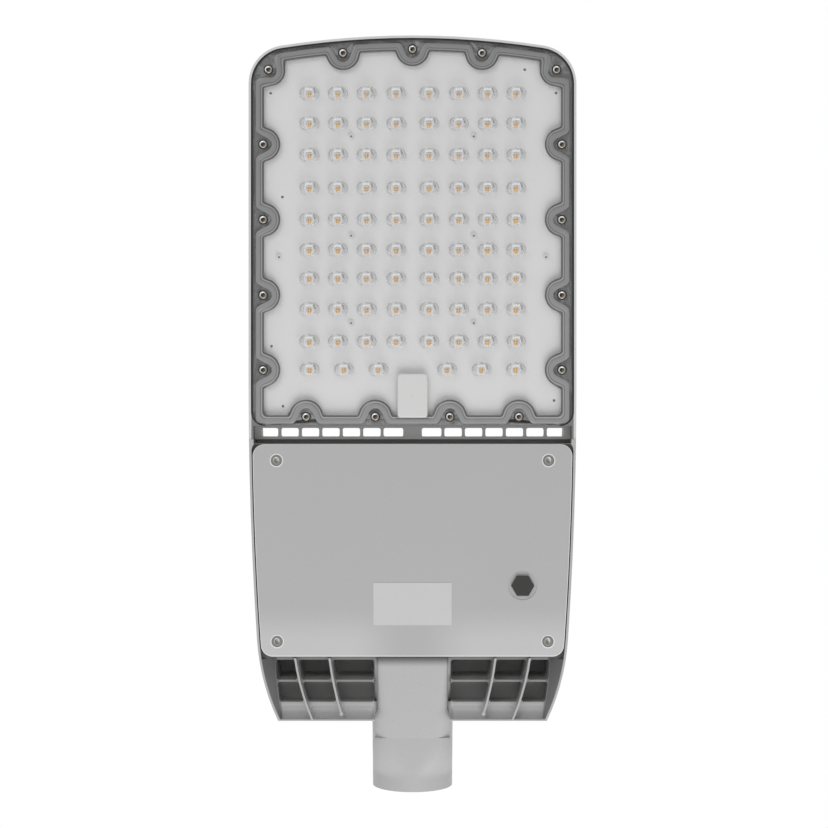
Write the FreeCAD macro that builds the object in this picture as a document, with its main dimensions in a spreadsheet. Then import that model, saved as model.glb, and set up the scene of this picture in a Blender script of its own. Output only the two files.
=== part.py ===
import FreeCAD, Part
import math
import os
import Sketcher

# Cast street light head seen in its working position, lamps facing down.
# Millimetres. +Z up, +Y towards the nose, the pole socket opens towards -Y.
# The origin is the centre of the pole socket at its mouth.

V = FreeCAD.Vector

# Driving sizes. Heights are measured from the rim of the casting, which is its
# lowest face, unless the name says otherwise.
SIZES = {
    # plan of the casting
    "half_width": 153.3,
    "nose_reach": 709,
    "crown_radius": 800,
    "nose_corner": 36,
    "waist_start": 380,
    "side_radius": 3540,
    "tail_start": 144,
    "tail_radius": 210,
    "tail_edge": 68,
    # side view of the casting
    "rim_below_axis": 44,
    "draft": 4,
    "nose_height": 24,
    "lamp_height": 38,
    "box_height": 89,
    "box_front": 322,
    "box_foot": 333,
    "box_back": 118,
    "box_back_drop": 5,
    "tail_height": 13,
    "box_front_round": 20,
    "box_foot_round": 14,
    "box_back_round": 40,
    "roof_edge_round": 9,
    "rim_wall": 2.2,
    # lamp tray
    "tray_end": 343.8,
    "tray_corner": 13,
    "lens_recess": 2,
    "flange_thick": 3,
    "lens_gap": 0.9,
    "gasket_thick": 1.5,
    "board_pocket": 2.5,
    "board_room": 0.5,
    "spreader_thick": 6,
    # lens plate
    "window_step": 1,
    "window_inset": 14.1,
    "board_inset": 13.6,
    "window_end": 353.7,
    "window_lap": 2,
    "window_corner": 5,
    "scallop_radius": 16,
    "boss_radius": 12,
    "lens_length": 18.8,
    "lens_width": 12,
    "lens_base_high": 4,
    "lens_base_draft": 9,
    "lens_dome_high": 1.6,
    "lens_dome_draft": 42,
    "lens_shift": 0.6,
    # board and lamps
    "board_thick": 1.6,
    "lamp_size": 5,
    "lamp_high": 0.7,
    # cooling fins over the tray
    "fin_thick": 2.8,
    "fin_spine": 16,
    "fin_edge": 9,
    "fin_count": 10,
    "fin_wall": 4,
    # row of slots
    "slot_low": 333.6,
    "slot_high": 341.8,
    "slot_floor": 5,
    "slot_recess": 13,
    "slot_side": 2,
    "gap_low": 327.4,
    "gap_deep": 22,
    "slot_bridge": 17.6,
    "slot_first": 18.5,
    "slot_width": 16.5,
    "slot_rib": 2.8,
    "slot_corner": 1.9,
    "slot_count": 7,
    # how far a cut or a pad runs into what it joins
    "lap": 1,
    # driver box and its cover
    "cover_recess": 4,
    "cover_gap": 2.7,
    "cover_thick": 4,
    "cover_seal": 1,
    "cover_inset": 3.2,
    "cover_low": 128.2,
    "cover_high": 326.8,
    "cover_corner": 11,
    "cover_edge": 1.2,
    "recess_high": 331.2,
    "cavity_half": 134,
    "cavity_low": 134.5,
    "cavity_high": 315,
    "cavity_corner": 50,
    "cavity_roof": 78,
    "seal_inset": 1,
    "cover_seal_width": 3.5,
    # tail cells
    "rib_depth": 8,
    "cell_round": 2.6,
    "cell_web": 3.2,
    "blade_thick": 1.9,
    "blade_stop": 74.5,
    "blade_knob": 1.7,
    "cell_skin": 3.5,
    "tail_wall": 1.3,
    "tail_margin": 0.8,
    # pole socket
    "socket_radius": 38,
    "socket_bore": 32.5,
    "socket_depth": 92,
    "socket_end": 130,
    "neck_half": 33.2,
    "neck_half_flared": 35,
    "neck_flare_start": 72.5,
    "neck_flare_end": 65,
    "neck_draft": 4,
    "neck_drop": 38.2,
    "neck_tip": 51,
    "neck_tip_rise": 28,
    "neck_base_rise": 0.6,
    "neck_base": 125,
    "cable_hole": 12,
    # small hardware
    "lens_screw_head": 3.6,
    "lens_screw_high": 2.2,
    "lens_screw_shank": 2,
    "lens_screw_long": 12,
    "lens_screw_sink": 1.2,
    "lens_screw_ring": 4.6,
    "board_screw_head": 2.8,
    "board_screw_high": 1.6,
    "board_screw_shank": 1.5,
    "board_screw_long": 6,
    "cover_screw_head": 4.6,
    "cover_screw_high": 2.6,
    "cover_screw_shank": 2.5,
    "cover_screw_long": 16,
    "cover_screw_ring": 5.4,
    "cover_screw_sink": 2.6,
    "vent_flats": 18.8,
    "vent_high": 1.6,
    "vent_neck": 6,
    "vent_long": 12,
    "vent_disc": 13.5,
    "vent_sink": 0.6,
    "vent_nut_flats": 18,
    "vent_nut_high": 4,
    "lens_screw_hole": 2.1,
    "lens_plate_hole": 2.3,
    "gasket_lobe": 13.5,
    "lens_screw_key": 2.5,
    "key_share": 0.55,
    "shank_lap": 0.2,
    "board_bite": 12.6,
    "board_screw_hole": 1.6,
    "board_clear_hole": 1.8,
    "board_screw_key": 2,
    "cover_screw_hole": 2.6,
    "cover_plate_hole": 2.8,
    "cover_screw_key": 4,
    "small_screw_hole": 2.1,
    "small_clear_hole": 2.3,
    "case_corner": 3,
    "small_screw_head": 3.8,
    "small_screw_high": 2.4,
    "small_screw_shank": 2,
    "small_screw_long": 6.5,
    "screw_end_gap": 0.7,
    "small_screw_key": 2.5,
    "vent_hole": 6.1,
    "vent_bore": 2.5,
    "wire_hole": 4.5,
    "wire_drop_deep": 24,
    "clamp_boss": 8.5,
    "clamp_top": 43,
    "clamp_hole": 4.1,
    "clamp_shank": 4,
    "clamp_flats": 13,
    "clamp_head_high": 5.3,
    "clamp_clear": 0.4,
    "clamp_root": 2,
    "driver_long": 190,
    "driver_wide": 66,
    "driver_high": 36,
    "driver_flange_long": 220,
    "driver_flange_wide": 54,
    "driver_flange_thick": 3,
    "driver_screw_reach": 104,
    "driver_screw_row": 20,
    "surge_long": 56,
    "surge_wide": 34,
    "surge_high": 26,
    "surge_flange_long": 80,
    "surge_flange_wide": 18,
    "surge_flange_thick": 2.5,
    "surge_screw_reach": 35,
    "terminal_long": 34,
    "terminal_wide": 22,
    "terminal_high": 18,
    "terminal_flange_long": 52,
    "terminal_flange_thick": 3,
    "terminal_screw_reach": 21,
    "terminal_pitch": 10,
    "terminal_row": 6,
    "terminal_pole": 3.2,
    "terminal_well": 6,
    "tag_radius": 5.5,
    "tag_thick": 0.8,
    "gland_thread": 11.9,
    "gland_grip": 12,
    "gland_flats": 27,
    "gland_flange": 5,
    "gland_dome": 11,
    "gland_dome_long": 12,
    "gland_bore": 5,
    "grommet_sleeve": 4.4,
    "grommet_long": 8,
    "grommet_flange": 7,
    "grommet_flange_thick": 2.5,
    "grommet_bore": 2.6,
    "washer_radius": 9,
    "cap_wide": 28.2,
    "cap_long": 41.1,
    "cap_low": 351.7,
    "cap_rise": 1.6,
    "cap_wall": 1.2,
    "plug_gap": 1.6,
    "plug_high": 5.6,
    "label_long": 73.2,
    "label_wide": 39.7,
    "label_thick": 0.3,
    "label_along": 177.5,
}

doc = FreeCAD.newDocument("street_light_head")
sheet = doc.addObject("Spreadsheet::Sheet", "sizes")
for row, (alias, amount) in enumerate(SIZES.items(), start=1):
    sheet.set(f"A{row}", alias)
    sheet.set(f"B{row}", str(amount))
    sheet.setAlias(f"B{row}", alias)
doc.recompute()


def size(alias):
    return float(sheet.get(alias))


RIM = -size("rim_below_axis")
SEAT = RIM + size("lens_recess") + size("flange_thick") + size("gasket_thick")
BOARD_SEAT = SEAT + size("board_pocket")
SPREADER = BOARD_SEAT + size("spreader_thick")
LEDGE = RIM + size("cover_recess")
ROOF = RIM + size("cavity_roof")
COVER_FACE = LEDGE - size("cover_seal") - size("cover_thick")

# Lens rows from the nose down and lens columns from the middle out.
ROWS = (655.0, 626.8, 597.3, 566.4, 536.8, 508.5, 481.7, 452.8, 422.8)
COLUMNS = (15.4, 43.2, 70.1, 96.8)
LAST_ROW = 396.4
LAST_COLUMNS = (32.2, 64.4, 96.5)

LENS_SCREWS = [(side * across, along) for across, along in
               ((134.9, 677.4), (65.1, 693.0)) for side in (1, -1)]
LENS_SCREWS += [(0, 696.6)]
LENS_SCREWS += [(side * 139.9, along) for along in (607.4, 536.9, 466.3, 396.2)
                for side in (1, -1)]
LENS_SCREWS += [(side * across, 352.4) for across in (99.6, 34.9) for side in (1, -1)]

BOARD_SCREWS = [(side * across, along) for across, along in
                ((57.5, 615.5), (57.5, 522.3), (57.5, 440.3), (125.3, 502.2))
                for side in (1, -1)]
COVER_SCREWS = [(side * across, along) for across, along in
                ((127.2, 311.7), (126.5, 142.5)) for side in (1, -1)]
VENT = (-102.9, 194.6)
WIRE_DROP = (0, 361.0)
WIRE_HEIGHT = -15.0

# Places of what stands in the driver box, hung from its roof
DRIVER = (-14.0, 258.0)
SURGE = (-70.0, 186.0)
TERMINAL = (52.0, 180.0)
DRIVER_SCREWS = [(DRIVER[0] + side * size("driver_screw_reach"),
                  DRIVER[1] + row * size("driver_screw_row")) for side in (1, -1)
                 for row in (1, -1)]
SURGE_SCREWS = [(SURGE[0] + side * size("surge_screw_reach"), SURGE[1]) for side in (1, -1)]
TERMINAL_SCREWS = [(TERMINAL[0] + side * size("terminal_screw_reach"), TERMINAL[1])
                   for side in (1, -1)]
EARTH_SCREW = (100.0, 182.0)


# Plan outline of the casting, moved inwards by a given amount. The side is
# straight, then one long arc, then a tighter arc into the tail.
side_middle = size("half_width") - size("side_radius")
tail_turn = math.asin((size("waist_start") - size("tail_start")) / size("side_radius"))
tail_across = side_middle + (size("side_radius") - size("tail_radius")) * math.cos(tail_turn)
tail_along = size("waist_start") - (size("side_radius") - size("tail_radius")) * math.sin(tail_turn)
nose_middle = size("nose_reach") - size("crown_radius")
corner_across = size("half_width") - size("nose_corner")
corner_along = nose_middle + math.sqrt(
    (size("crown_radius") - size("nose_corner")) ** 2 - corner_across ** 2)


def side_turn(inset):
    return size("waist_start") - (size("side_radius") - inset) * math.sin(tail_turn)


def side_across(along, inset):
    """Half width of the outline at a distance along the head."""
    if along >= size("waist_start"):
        return size("half_width") - inset
    if along >= side_turn(inset):
        reach = (size("side_radius") - inset) ** 2 - (along - size("waist_start")) ** 2
        return side_middle + math.sqrt(reach)
    reach = (size("tail_radius") - inset) ** 2 - (along - tail_along) ** 2
    return tail_across + math.sqrt(reach)


def side_curves(inset, low, high):
    """Arcs of the right-hand side between two distances, from low to high."""
    stops = [low] + [stop for stop in (side_turn(inset), size("waist_start"))
                     if low + 1 < stop < high - 1] + [high]
    curves = []
    for start, end in zip(stops, stops[1:]):
        middle = (start + end) / 2
        ends = [V(side_across(along, inset), along, 0) for along in (start, middle, end)]
        if start >= size("waist_start"):
            curves.append(Part.LineSegment(ends[0], ends[2]))
        else:
            curves.append(Part.Arc(*ends))
    return curves


def flipped(curves):
    """The same curves on the other side of the head, in reverse order."""
    result = []
    for curve in reversed(curves):
        first, last = curve.value(curve.FirstParameter), curve.value(curve.LastParameter)
        half = curve.value((curve.FirstParameter + curve.LastParameter) / 2)
        first, half, last = [V(-spot.x, spot.y, 0) for spot in (first, half, last)]
        if isinstance(curve, Part.LineSegment):
            result.append(Part.LineSegment(last, first))
        else:
            result.append(Part.Arc(last, half, first))
    return result


def low_corner(inset, low, corner):
    """Start of the right-hand side: a rounded corner on the straight edge."""
    if corner == 0:
        across = side_across(low, inset)
        return across, [], low
    across = side_across(low + corner, inset)
    middle = V(across - corner, low + corner, 0)
    bulge = middle + V(corner * math.cos(math.pi / 4), -corner * math.sin(math.pi / 4), 0)
    arc = Part.Arc(V(middle.x, low, 0), bulge, V(across, middle.y, 0))
    return middle.x, [arc], middle.y


def high_corner(inset, high, corner):
    """End of the right-hand side: a rounded corner on the straight edge."""
    if corner == 0:
        return side_across(high, inset), [], high
    across = side_across(high - corner, inset)
    middle = V(across - corner, high - corner, 0)
    bulge = middle + V(corner * math.cos(math.pi / 4), corner * math.sin(math.pi / 4), 0)
    arc = Part.Arc(V(across, middle.y, 0), bulge, V(middle.x, high, 0))
    return middle.x, [arc], middle.y


def nose_outline(inset, low, corner=0):
    """Closed outline from a straight edge at low round the nose."""
    radius = size("nose_corner") - inset
    lean = math.atan2(corner_along - nose_middle, corner_across)
    crown = size("crown_radius") - inset
    across, right, start = low_corner(inset, low, corner)
    right += side_curves(inset, start, corner_along)
    half = V(corner_across + radius * math.cos(lean / 2),
             corner_along + radius * math.sin(lean / 2), 0)
    end = V(crown * math.cos(lean), nose_middle + crown * math.sin(lean), 0)
    right.append(Part.Arc(V(size("half_width") - inset, corner_along, 0), half, end))
    top = Part.Arc(end, V(0, nose_middle + crown, 0), V(-end.x, end.y, 0))
    base = Part.LineSegment(V(-across, low, 0), V(across, low, 0))
    return [base] + right + [top] + flipped(right)


def nose_along(across, inset):
    """Distance at which the nose outline crosses a line along the head."""
    across = abs(across)
    crown = size("crown_radius") - inset
    lean = math.atan2(corner_along - nose_middle, corner_across)
    if across <= crown * math.cos(lean):
        return nose_middle + math.sqrt(crown ** 2 - across ** 2)
    radius = size("nose_corner") - inset
    return corner_along + math.sqrt(radius ** 2 - (across - corner_across) ** 2)


def band_outline(inset, low, high, low_round=0, high_round=0):
    """Closed outline between two straight edges across the head."""
    low_across, right, start = low_corner(inset, low, low_round)
    high_across, end_arc, end = high_corner(inset, high, high_round)
    right += side_curves(inset, start, end) + end_arc
    base = Part.LineSegment(V(-low_across, low, 0), V(low_across, low, 0))
    top = Part.LineSegment(V(high_across, high, 0), V(-high_across, high, 0))
    return [base] + right + [top] + flipped(right)


def block_outline(left, right, low, high):
    corners = [V(left, low, 0), V(right, low, 0), V(right, high, 0), V(left, high, 0)]
    return [Part.LineSegment(one, other) for one, other in zip(corners, corners[1:] + corners[:1])]


def rounded_outline(corners, radii):
    """Closed outline through corner points, each rounded by its own radius."""
    lines = []
    arcs = []
    count = len(corners)
    for index, (corner, radius) in enumerate(zip(corners, radii)):
        before = (corners[index - 1] - corner).normalize()
        after = (corners[(index + 1) % count] - corner).normalize()
        half = before.getAngle(after) / 2
        if radius == 0:
            arcs.append((corner, None, corner))
            continue
        reach = radius / math.tan(half)
        middle = corner + (before + after).normalize() * (radius / math.sin(half))
        bulge = middle - (before + after).normalize() * radius
        arcs.append((corner + before * reach, bulge, corner + after * reach))
    for index, (start, bulge, end) in enumerate(arcs):
        if bulge is not None:
            lines.append(Part.Arc(start, bulge, end))
        lines.append(Part.LineSegment(end, arcs[(index + 1) % count][0]))
    return lines


def stadium(across, along, length, width):
    """Closed slot shape lying across the head."""
    reach, radius = (length - width) / 2, width / 2
    left, right = across - reach, across + reach
    return [
        Part.LineSegment(V(left, along - radius, 0), V(right, along - radius, 0)),
        Part.Arc(V(right, along - radius, 0), V(right + radius, along, 0),
                 V(right, along + radius, 0)),
        Part.LineSegment(V(right, along + radius, 0), V(left, along + radius, 0)),
        Part.Arc(V(left, along + radius, 0), V(left - radius, along, 0),
                 V(left, along - radius, 0)),
    ]


# Helpers that add features to a body.
def new_body(label):
    body = doc.addObject("PartDesign::Body", label)
    body.Label = label
    return body


def new_sketch(body, name, role="XY_Plane", offset=0):
    """Sketch on one of the body's own origin planes, moved along its normal."""
    origin_plane = [item for item in body.Origin.OriginFeatures if item.Role == role][0]
    sketch = body.newObject("Sketcher::SketchObject", name)
    sketch.AttachmentSupport = (origin_plane, [""])
    sketch.MapMode = "FlatFace"
    if isinstance(offset, str):
        sketch.setExpression("AttachmentOffset.Base.z", offset)
    else:
        sketch.AttachmentOffset = FreeCAD.Placement(V(0, 0, offset), FreeCAD.Rotation())
    return sketch


def add_outlines(sketch, outlines):
    """Adds closed chains of curves and joins each end to the next start."""
    first = sketch.GeometryCount
    sketch.addGeometry([curve for outline in outlines for curve in outline], False)
    rules = []
    for outline in outlines:
        count = len(outline)
        for index in range(count):
            here, there = first + index, first + (index + 1) % count
            for end in (1, 2):
                spot = sketch.getPoint(here, end)
                for start in (1, 2):
                    if spot.distanceToPoint(sketch.getPoint(there, start)) < 1e-4:
                        rules.append(Sketcher.Constraint("Coincident", here, end, there, start))
        first += count
    sketch.addConstraint(rules)


def add_outline(sketch, outline):
    add_outlines(sketch, [outline])


def add_circles(sketch, spots, alias):
    """Equal circles whose radius follows a cell of the sheet."""
    first = sketch.GeometryCount
    sketch.addGeometry([Part.Circle(V(across, along, 0), V(0, 0, 1), size(alias))
                        for across, along in spots], False)
    rule = sketch.addConstraint(Sketcher.Constraint("Radius", first, size(alias)))
    sketch.setExpression(f"Constraints[{rule}]", f"sizes.{alias}")
    if len(spots) > 1:
        sketch.addConstraint([Sketcher.Constraint("Equal", first, first + number)
                              for number in range(1, len(spots))])


def grow(body, name, sketch, length, up=True, taper=None):
    feature = body.newObject("PartDesign::Pad", name)
    feature.Profile = sketch
    feature.setExpression("Length", length)
    feature.Reversed = not up
    if taper:
        feature.setExpression("TaperAngle", taper)
    return feature


def cut(body, name, sketch, length=None, up=True, taper=None):
    feature = body.newObject("PartDesign::Pocket", name)
    feature.Profile = sketch
    if length is None:
        feature.Type = "ThroughAll"
    else:
        feature.setExpression("Length", length)
    feature.Reversed = up
    if taper:
        feature.setExpression("TaperAngle", taper)
    return feature


def edges_where(feature, test):
    """Names of the feature's edges that pass a test."""
    return [f"Edge{index}" for index, edge in enumerate(feature.Shape.Edges, start=1)
            if test(edge)]


def dress(body, kind, name, base, edges, **lengths):
    """Fillet or chamfer on chosen edges, with its lengths as expressions."""
    feature = body.newObject(f"PartDesign::{kind}", name)
    feature.Base = (base, edges)
    for prop, text in lengths.items():
        feature.setExpression(prop, text)
    body.Tip = feature
    return feature


def is_upright(edge):
    box = edge.BoundBox
    return box.XLength < 1e-3 and box.YLength < 1e-3


# The casting
housing = new_body("housing")

plan = new_sketch(housing, "plan", offset="-sizes.rim_below_axis")
add_outline(plan, nose_outline(0, size("tail_edge")))
block = grow(housing, "block", plan, "sizes.box_height + sizes.lap", taper="-sizes.draft")


def roof_tool(over):
    """Closed side outline of everything above the roof, up to a given height."""
    tail = V(size("tail_edge"), RIM + size("tail_height"), 0)
    back = V(size("box_back"), RIM + size("box_height") - size("box_back_drop"), 0)
    front = V(size("box_front"), RIM + size("box_height"), 0)
    foot = V(size("box_foot"), RIM + size("lamp_height"), 0)
    nose = V(size("nose_reach"), RIM + size("nose_height"), 0)
    first = tail + (tail - back) * 0.2
    last = nose + (nose - foot) * 0.1
    corners = [first, back, front, foot, last, V(last.x, over, 0), V(first.x, over, 0)]
    radii = [0, size("box_back_round"), size("box_front_round"), size("box_foot_round"), 0, 0, 0]
    return rounded_outline(corners, radii)


side_view = new_sketch(housing, "side_view", "YZ_Plane")
add_outline(side_view, roof_tool(2 * size("box_height")))
doc.recompute()
crown = housing.newObject("PartDesign::Pocket", "crown")
crown.Profile = side_view
crown.Type = "ThroughAll"
crown.Midplane = True

doc.recompute()


def is_roof_edge(edge):
    """Edges between the roof and the walls, without the seams across the roof."""
    box = edge.BoundBox
    across_line = box.YLength < 0.01 and isinstance(edge.Curve, Part.Line)
    return box.ZMin > RIM + 1 and box.ZMax > SPREADER and not across_line


roof_edge = dress(housing, "Fillet", "roof_edge", crown, edges_where(crown, is_roof_edge),
                  Radius="sizes.roof_edge_round")

# Tray for the lens plate, with a deeper floor for the board
tray = new_sketch(housing, "tray", offset="-sizes.rim_below_axis")
add_outline(tray, nose_outline(size("rim_wall"), size("tray_end"), size("tray_corner")))
cut(housing, "tray_pocket", tray, "sizes.lens_recess + sizes.flange_thick + sizes.gasket_thick")
board_floor = new_sketch(housing, "board_floor", offset=SEAT)
add_outline(board_floor, nose_outline(size("board_inset") - size("board_room"),
                                      size("window_end") - 2 * size("board_room"),
                                      size("window_corner")))
cut(housing, "board_floor_pocket", board_floor, "sizes.board_pocket")
bosses = new_sketch(housing, "bosses", offset=SEAT)
add_circles(bosses, LENS_SCREWS, "boss_radius")
grow(housing, "screw_bosses", bosses, "sizes.board_pocket + sizes.lap")

# Fins over the tray: channels cut down to the spreader
channels = new_sketch(housing, "channels", offset=SPREADER)
fin_span = side_across(size("waist_start"), size("fin_edge")) - size("fin_spine") / 2
fin_pitch = (fin_span + size("fin_thick")) / size("fin_count")
fin_low = size("tray_end") + size("fin_wall")
channel_plans = []
for side in (1, -1):
    for number in range(int(size("fin_count"))):
        near = size("fin_spine") / 2 + number * fin_pitch
        far = near + fin_pitch - size("fin_thick")
        corners = [V(side * near, fin_low, 0), V(side * far, fin_low, 0),
                   V(side * far, nose_along(far, size("fin_edge")), 0),
                   V(side * near, nose_along(near, size("fin_edge")), 0)]
        channel_plans.append([Part.LineSegment(one, other) for one, other
                              in zip(corners, corners[1:] + corners[:1])])
add_outlines(channels, channel_plans)
cut(housing, "fin_channels", channels)

# Row of slots in a thin floor, set back between the tray and the driver box
trench = new_sketch(housing, "trench",
                    offset="-sizes.rim_below_axis + sizes.slot_recess + sizes.slot_floor")
slot_plan = new_sketch(housing, "slot_plan", offset="-sizes.rim_below_axis + sizes.slot_recess")
setback = new_sketch(housing, "setback", offset="-sizes.rim_below_axis")
front_gap = new_sketch(housing, "front_gap", offset="-sizes.rim_below_axis")
slot_start = size("slot_bridge") / 2
slot_end = slot_start + size("slot_first") + (size("slot_count") - 1) * (
    size("slot_width") + size("slot_rib"))
for side in (1, -1):
    ends = sorted((side * slot_start, side * slot_end))
    add_outline(trench, block_outline(*ends, size("slot_low"), size("slot_high")))
    near = slot_start
    slot_plans = []
    for number in range(int(size("slot_count"))):
        far = near + (size("slot_first") if number == 0 else size("slot_width"))
        left, right = sorted((side * near, side * far))
        corners = [V(left, size("slot_low"), 0), V(right, size("slot_low"), 0),
                   V(right, size("slot_high"), 0), V(left, size("slot_high"), 0)]
        slot_plans.append(rounded_outline(corners, [size("slot_corner")] * 4))
        near = far + size("slot_rib")
    add_outlines(slot_plan, slot_plans)
slot_wall = size("rim_wall") + size("slot_side")
add_outline(setback, band_outline(slot_wall, size("recess_high"), size("tray_end"), 0, 0))
add_outline(front_gap, band_outline(slot_wall, size("gap_low"), size("recess_high"), 0, 0))
cut(housing, "slot_setback", setback, "sizes.slot_recess")
cut(housing, "cover_front_gap", front_gap, "sizes.gap_deep")
cut(housing, "trench_pocket", trench)
cut(housing, "slots", slot_plan, "sizes.slot_floor + sizes.lap")

# Ledge for the cover and the hollow of the driver box
ledge_low = size("cover_low") - size("cover_gap")
ledge = new_sketch(housing, "ledge", offset="-sizes.rim_below_axis")
add_outline(ledge, band_outline(size("rim_wall"), ledge_low, size("recess_high"),
                                0, size("cover_corner")))
cut(housing, "cover_ledge", ledge, "sizes.cover_recess")


def cavity_outline(spread):
    """Hollow of the driver box, widened on every side by the same amount."""
    across = size("cavity_half") + spread
    low, high = size("cavity_low") - spread, size("cavity_high") + spread
    corners = [V(-across, low, 0), V(across, low, 0), V(across, high, 0), V(-across, high, 0)]
    return rounded_outline(corners, [size("cavity_corner") + spread] * 4)


hollow = new_sketch(housing, "hollow", offset=LEDGE)
add_outline(hollow, cavity_outline(0))
cut(housing, "driver_box", hollow, "sizes.cavity_roof - sizes.cover_recess")

# Tail: a recess with sloping side walls, nine cells on each side and two long blades.
# Each blade, and the foot of the sloping wall, is a curve through three places.
BLADES = (((110.0, 127.8), (104.4, 100.0), (93.9, 69.4)),
          ((77.8, 127.8), (73.2, 100.0), (64.9, 69.4)))
SLOPE_FOOT = ((129.8, 126.0), (127.3, 97.0), (123.0, 69.0))
CELL_ROWS = ((105.3, 124.2), (84.6, 103.4), (69.9, 80.6))


def curve_across(places, along):
    """Parabola through three places, as a half width at a distance along the head."""
    total = 0
    for index, (across, here) in enumerate(places):
        share = across
        for other, (_, there) in enumerate(places):
            if other != index:
                share *= (along - there) / (here - there)
        total += share
    return total


def loft_cut(body, name, sketches):
    """Takes away the straight-lined solid between two sketches."""
    doc.recompute()
    feature = body.newObject("PartDesign::SubtractiveLoft", name)
    feature.Profile = sketches[0]
    feature.Sections = sketches[1:]
    feature.Ruled = True
    return feature


tail_low = size("tail_edge") + size("tail_wall")
tail_high = ledge_low + size("lap")
tail_mouth = new_sketch(housing, "tail_mouth", offset="-sizes.rim_below_axis")
add_outline(tail_mouth, band_outline(size("rim_wall"), tail_low, tail_high))
tail_floor = new_sketch(housing, "tail_floor", offset="-sizes.rim_below_axis + sizes.rib_depth")
foot = [V(curve_across(SLOPE_FOOT, along), along, 0)
        for along in (tail_low, (tail_low + tail_high) / 2, tail_high)]
foot_side = Part.Arc(*foot)
add_outline(tail_floor, [Part.LineSegment(V(-foot[0].x, tail_low, 0), foot[0]), foot_side,
                         Part.LineSegment(foot[2], V(-foot[2].x, tail_high, 0))]
            + flipped([foot_side]))
loft_cut(housing, "tail_recess", [tail_mouth, tail_floor])

half_web = size("cell_web") / 2
neck_root = size("neck_half") + size("neck_drop") * math.tan(math.radians(size("neck_draft")))
roof_slope = (size("box_height") - size("box_back_drop") - size("tail_height")) / (
    size("box_back") - size("tail_edge"))
for number, (low, high) in enumerate(CELL_ROWS):
    cells = new_sketch(housing, f"cells_{number + 1}", offset=RIM + size("rib_depth"))
    cell_plans = []
    for side in (1, -1):
        for column in range(3):
            corners = []
            for along in (low, high):
                edges = [neck_root,
                         curve_across(BLADES[1], along) - half_web,
                         curve_across(BLADES[1], along) + half_web,
                         curve_across(BLADES[0], along) - half_web,
                         curve_across(BLADES[0], along) + half_web,
                         curve_across(SLOPE_FOOT, along) - size("tail_margin")]
                near, far = edges[2 * column], edges[2 * column + 1]
                corners += [V(side * near, along, 0), V(side * far, along, 0)]
            ring = [corners[0], corners[1], corners[3], corners[2]]
            cell_plans.append(rounded_outline(ring, [size("cell_round")] * 4))
    add_outlines(cells, cell_plans)
    roof_there = size("tail_height") + roof_slope * (low - size("tail_edge"))
    depth = roof_there - size("cell_skin") * math.hypot(1, roof_slope) - size("rib_depth")
    cells_cut = housing.newObject("PartDesign::Pocket", f"cell_row_{number + 1}")
    cells_cut.Profile = cells
    cells_cut.Length = depth
    cells_cut.Reversed = True
    print("cell row", number + 1, "depth", round(depth, 1))

blades = new_sketch(housing, "blades", offset="-sizes.rim_below_axis")
knobs = new_sketch(housing, "knobs", offset="-sizes.rim_below_axis")
half_blade = size("blade_thick") / 2
for side in (1, -1):
    for blade, start in zip(BLADES, (tail_low - half_blade, size("blade_stop"))):
        stations = (start, (start + tail_high) / 2, tail_high)
        outer, inner = [[V(side * (curve_across(blade, along) + shift), along, 0)
                         for along in stations] for shift in (half_blade, -half_blade)]
        add_outline(blades, [Part.Arc(*outer), Part.LineSegment(outer[2], inner[2]),
                             Part.Arc(*reversed(inner)), Part.LineSegment(inner[0], outer[0])])
grow(housing, "tail_blades", blades, "sizes.rib_depth + sizes.lap")
add_circles(knobs, [(side * curve_across(BLADES[1], size("blade_stop")), size("blade_stop"))
                    for side in (1, -1)], "blade_knob")
grow(housing, "blade_knobs", knobs, "sizes.rib_depth + sizes.lap")

# Neck and pole socket, cast in one with the tail. The flat under the neck narrows to a
# tip on the round of the socket.
gap = new_sketch(housing, "neck_gap", offset="-sizes.rim_below_axis")
add_outline(gap, block_outline(-size("neck_half_flared"), size("neck_half_flared"),
                               size("tail_edge") - size("lap"), tail_low + size("lap")))
cut(housing, "neck_gap_cut", gap, "sizes.rim_below_axis - sizes.neck_drop")
neck = new_sketch(housing, "neck", offset="-sizes.neck_drop")
half_neck = [V(size("neck_half_flared"), size("neck_tip"), 0),
             V(size("neck_half_flared"), size("neck_flare_end"), 0),
             V(size("neck_half"), size("neck_flare_start"), 0),
             V(size("neck_half"), size("socket_end"), 0)]
ring = half_neck + [V(-spot.x, spot.y, 0) for spot in reversed(half_neck)]
add_outline(neck, rounded_outline(ring, [0] * len(ring)))
grow(housing, "neck_block", neck, "sizes.neck_drop", taper="sizes.neck_draft")
for side, label in ((1, "right"), (-1, "left")):
    wedges = []
    for along, start, rise in ((size("neck_base"), size("neck_half"), size("neck_base_rise")),
                               (size("neck_tip"), 0, size("neck_tip_rise"))):
        wedge = new_sketch(housing, f"wedge_{label}_{round(along)}", "XZ_Plane", -along)
        far, floor = size("neck_half_flared") + size("lap"), -size("neck_drop")
        spots = [V(side * start, floor, 0), V(side * far, floor - size("lap"), 0),
                 V(side * far, floor + rise, 0)]
        add_outline(wedge, rounded_outline(spots, [0] * 3))
        wedges.append(wedge)
    loft_cut(housing, f"neck_side_{label}", wedges)
socket = new_sketch(housing, "socket", "XZ_Plane")
add_circles(socket, [(0, 0)], "socket_radius")
grow(housing, "socket_tube", socket, "sizes.socket_end", up=False)

bore = new_sketch(housing, "bore", "XZ_Plane")
add_circles(bore, [(0, 0)], "socket_bore")
cut(housing, "pole_bore", bore, "sizes.socket_depth", up=False)
cable_way = new_sketch(housing, "cable_way", "XZ_Plane")
add_circles(cable_way, [(0, 0)], "cable_hole")
cut(housing, "cable_entry", cable_way, "sizes.cavity_low + sizes.lap", up=False)

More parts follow.
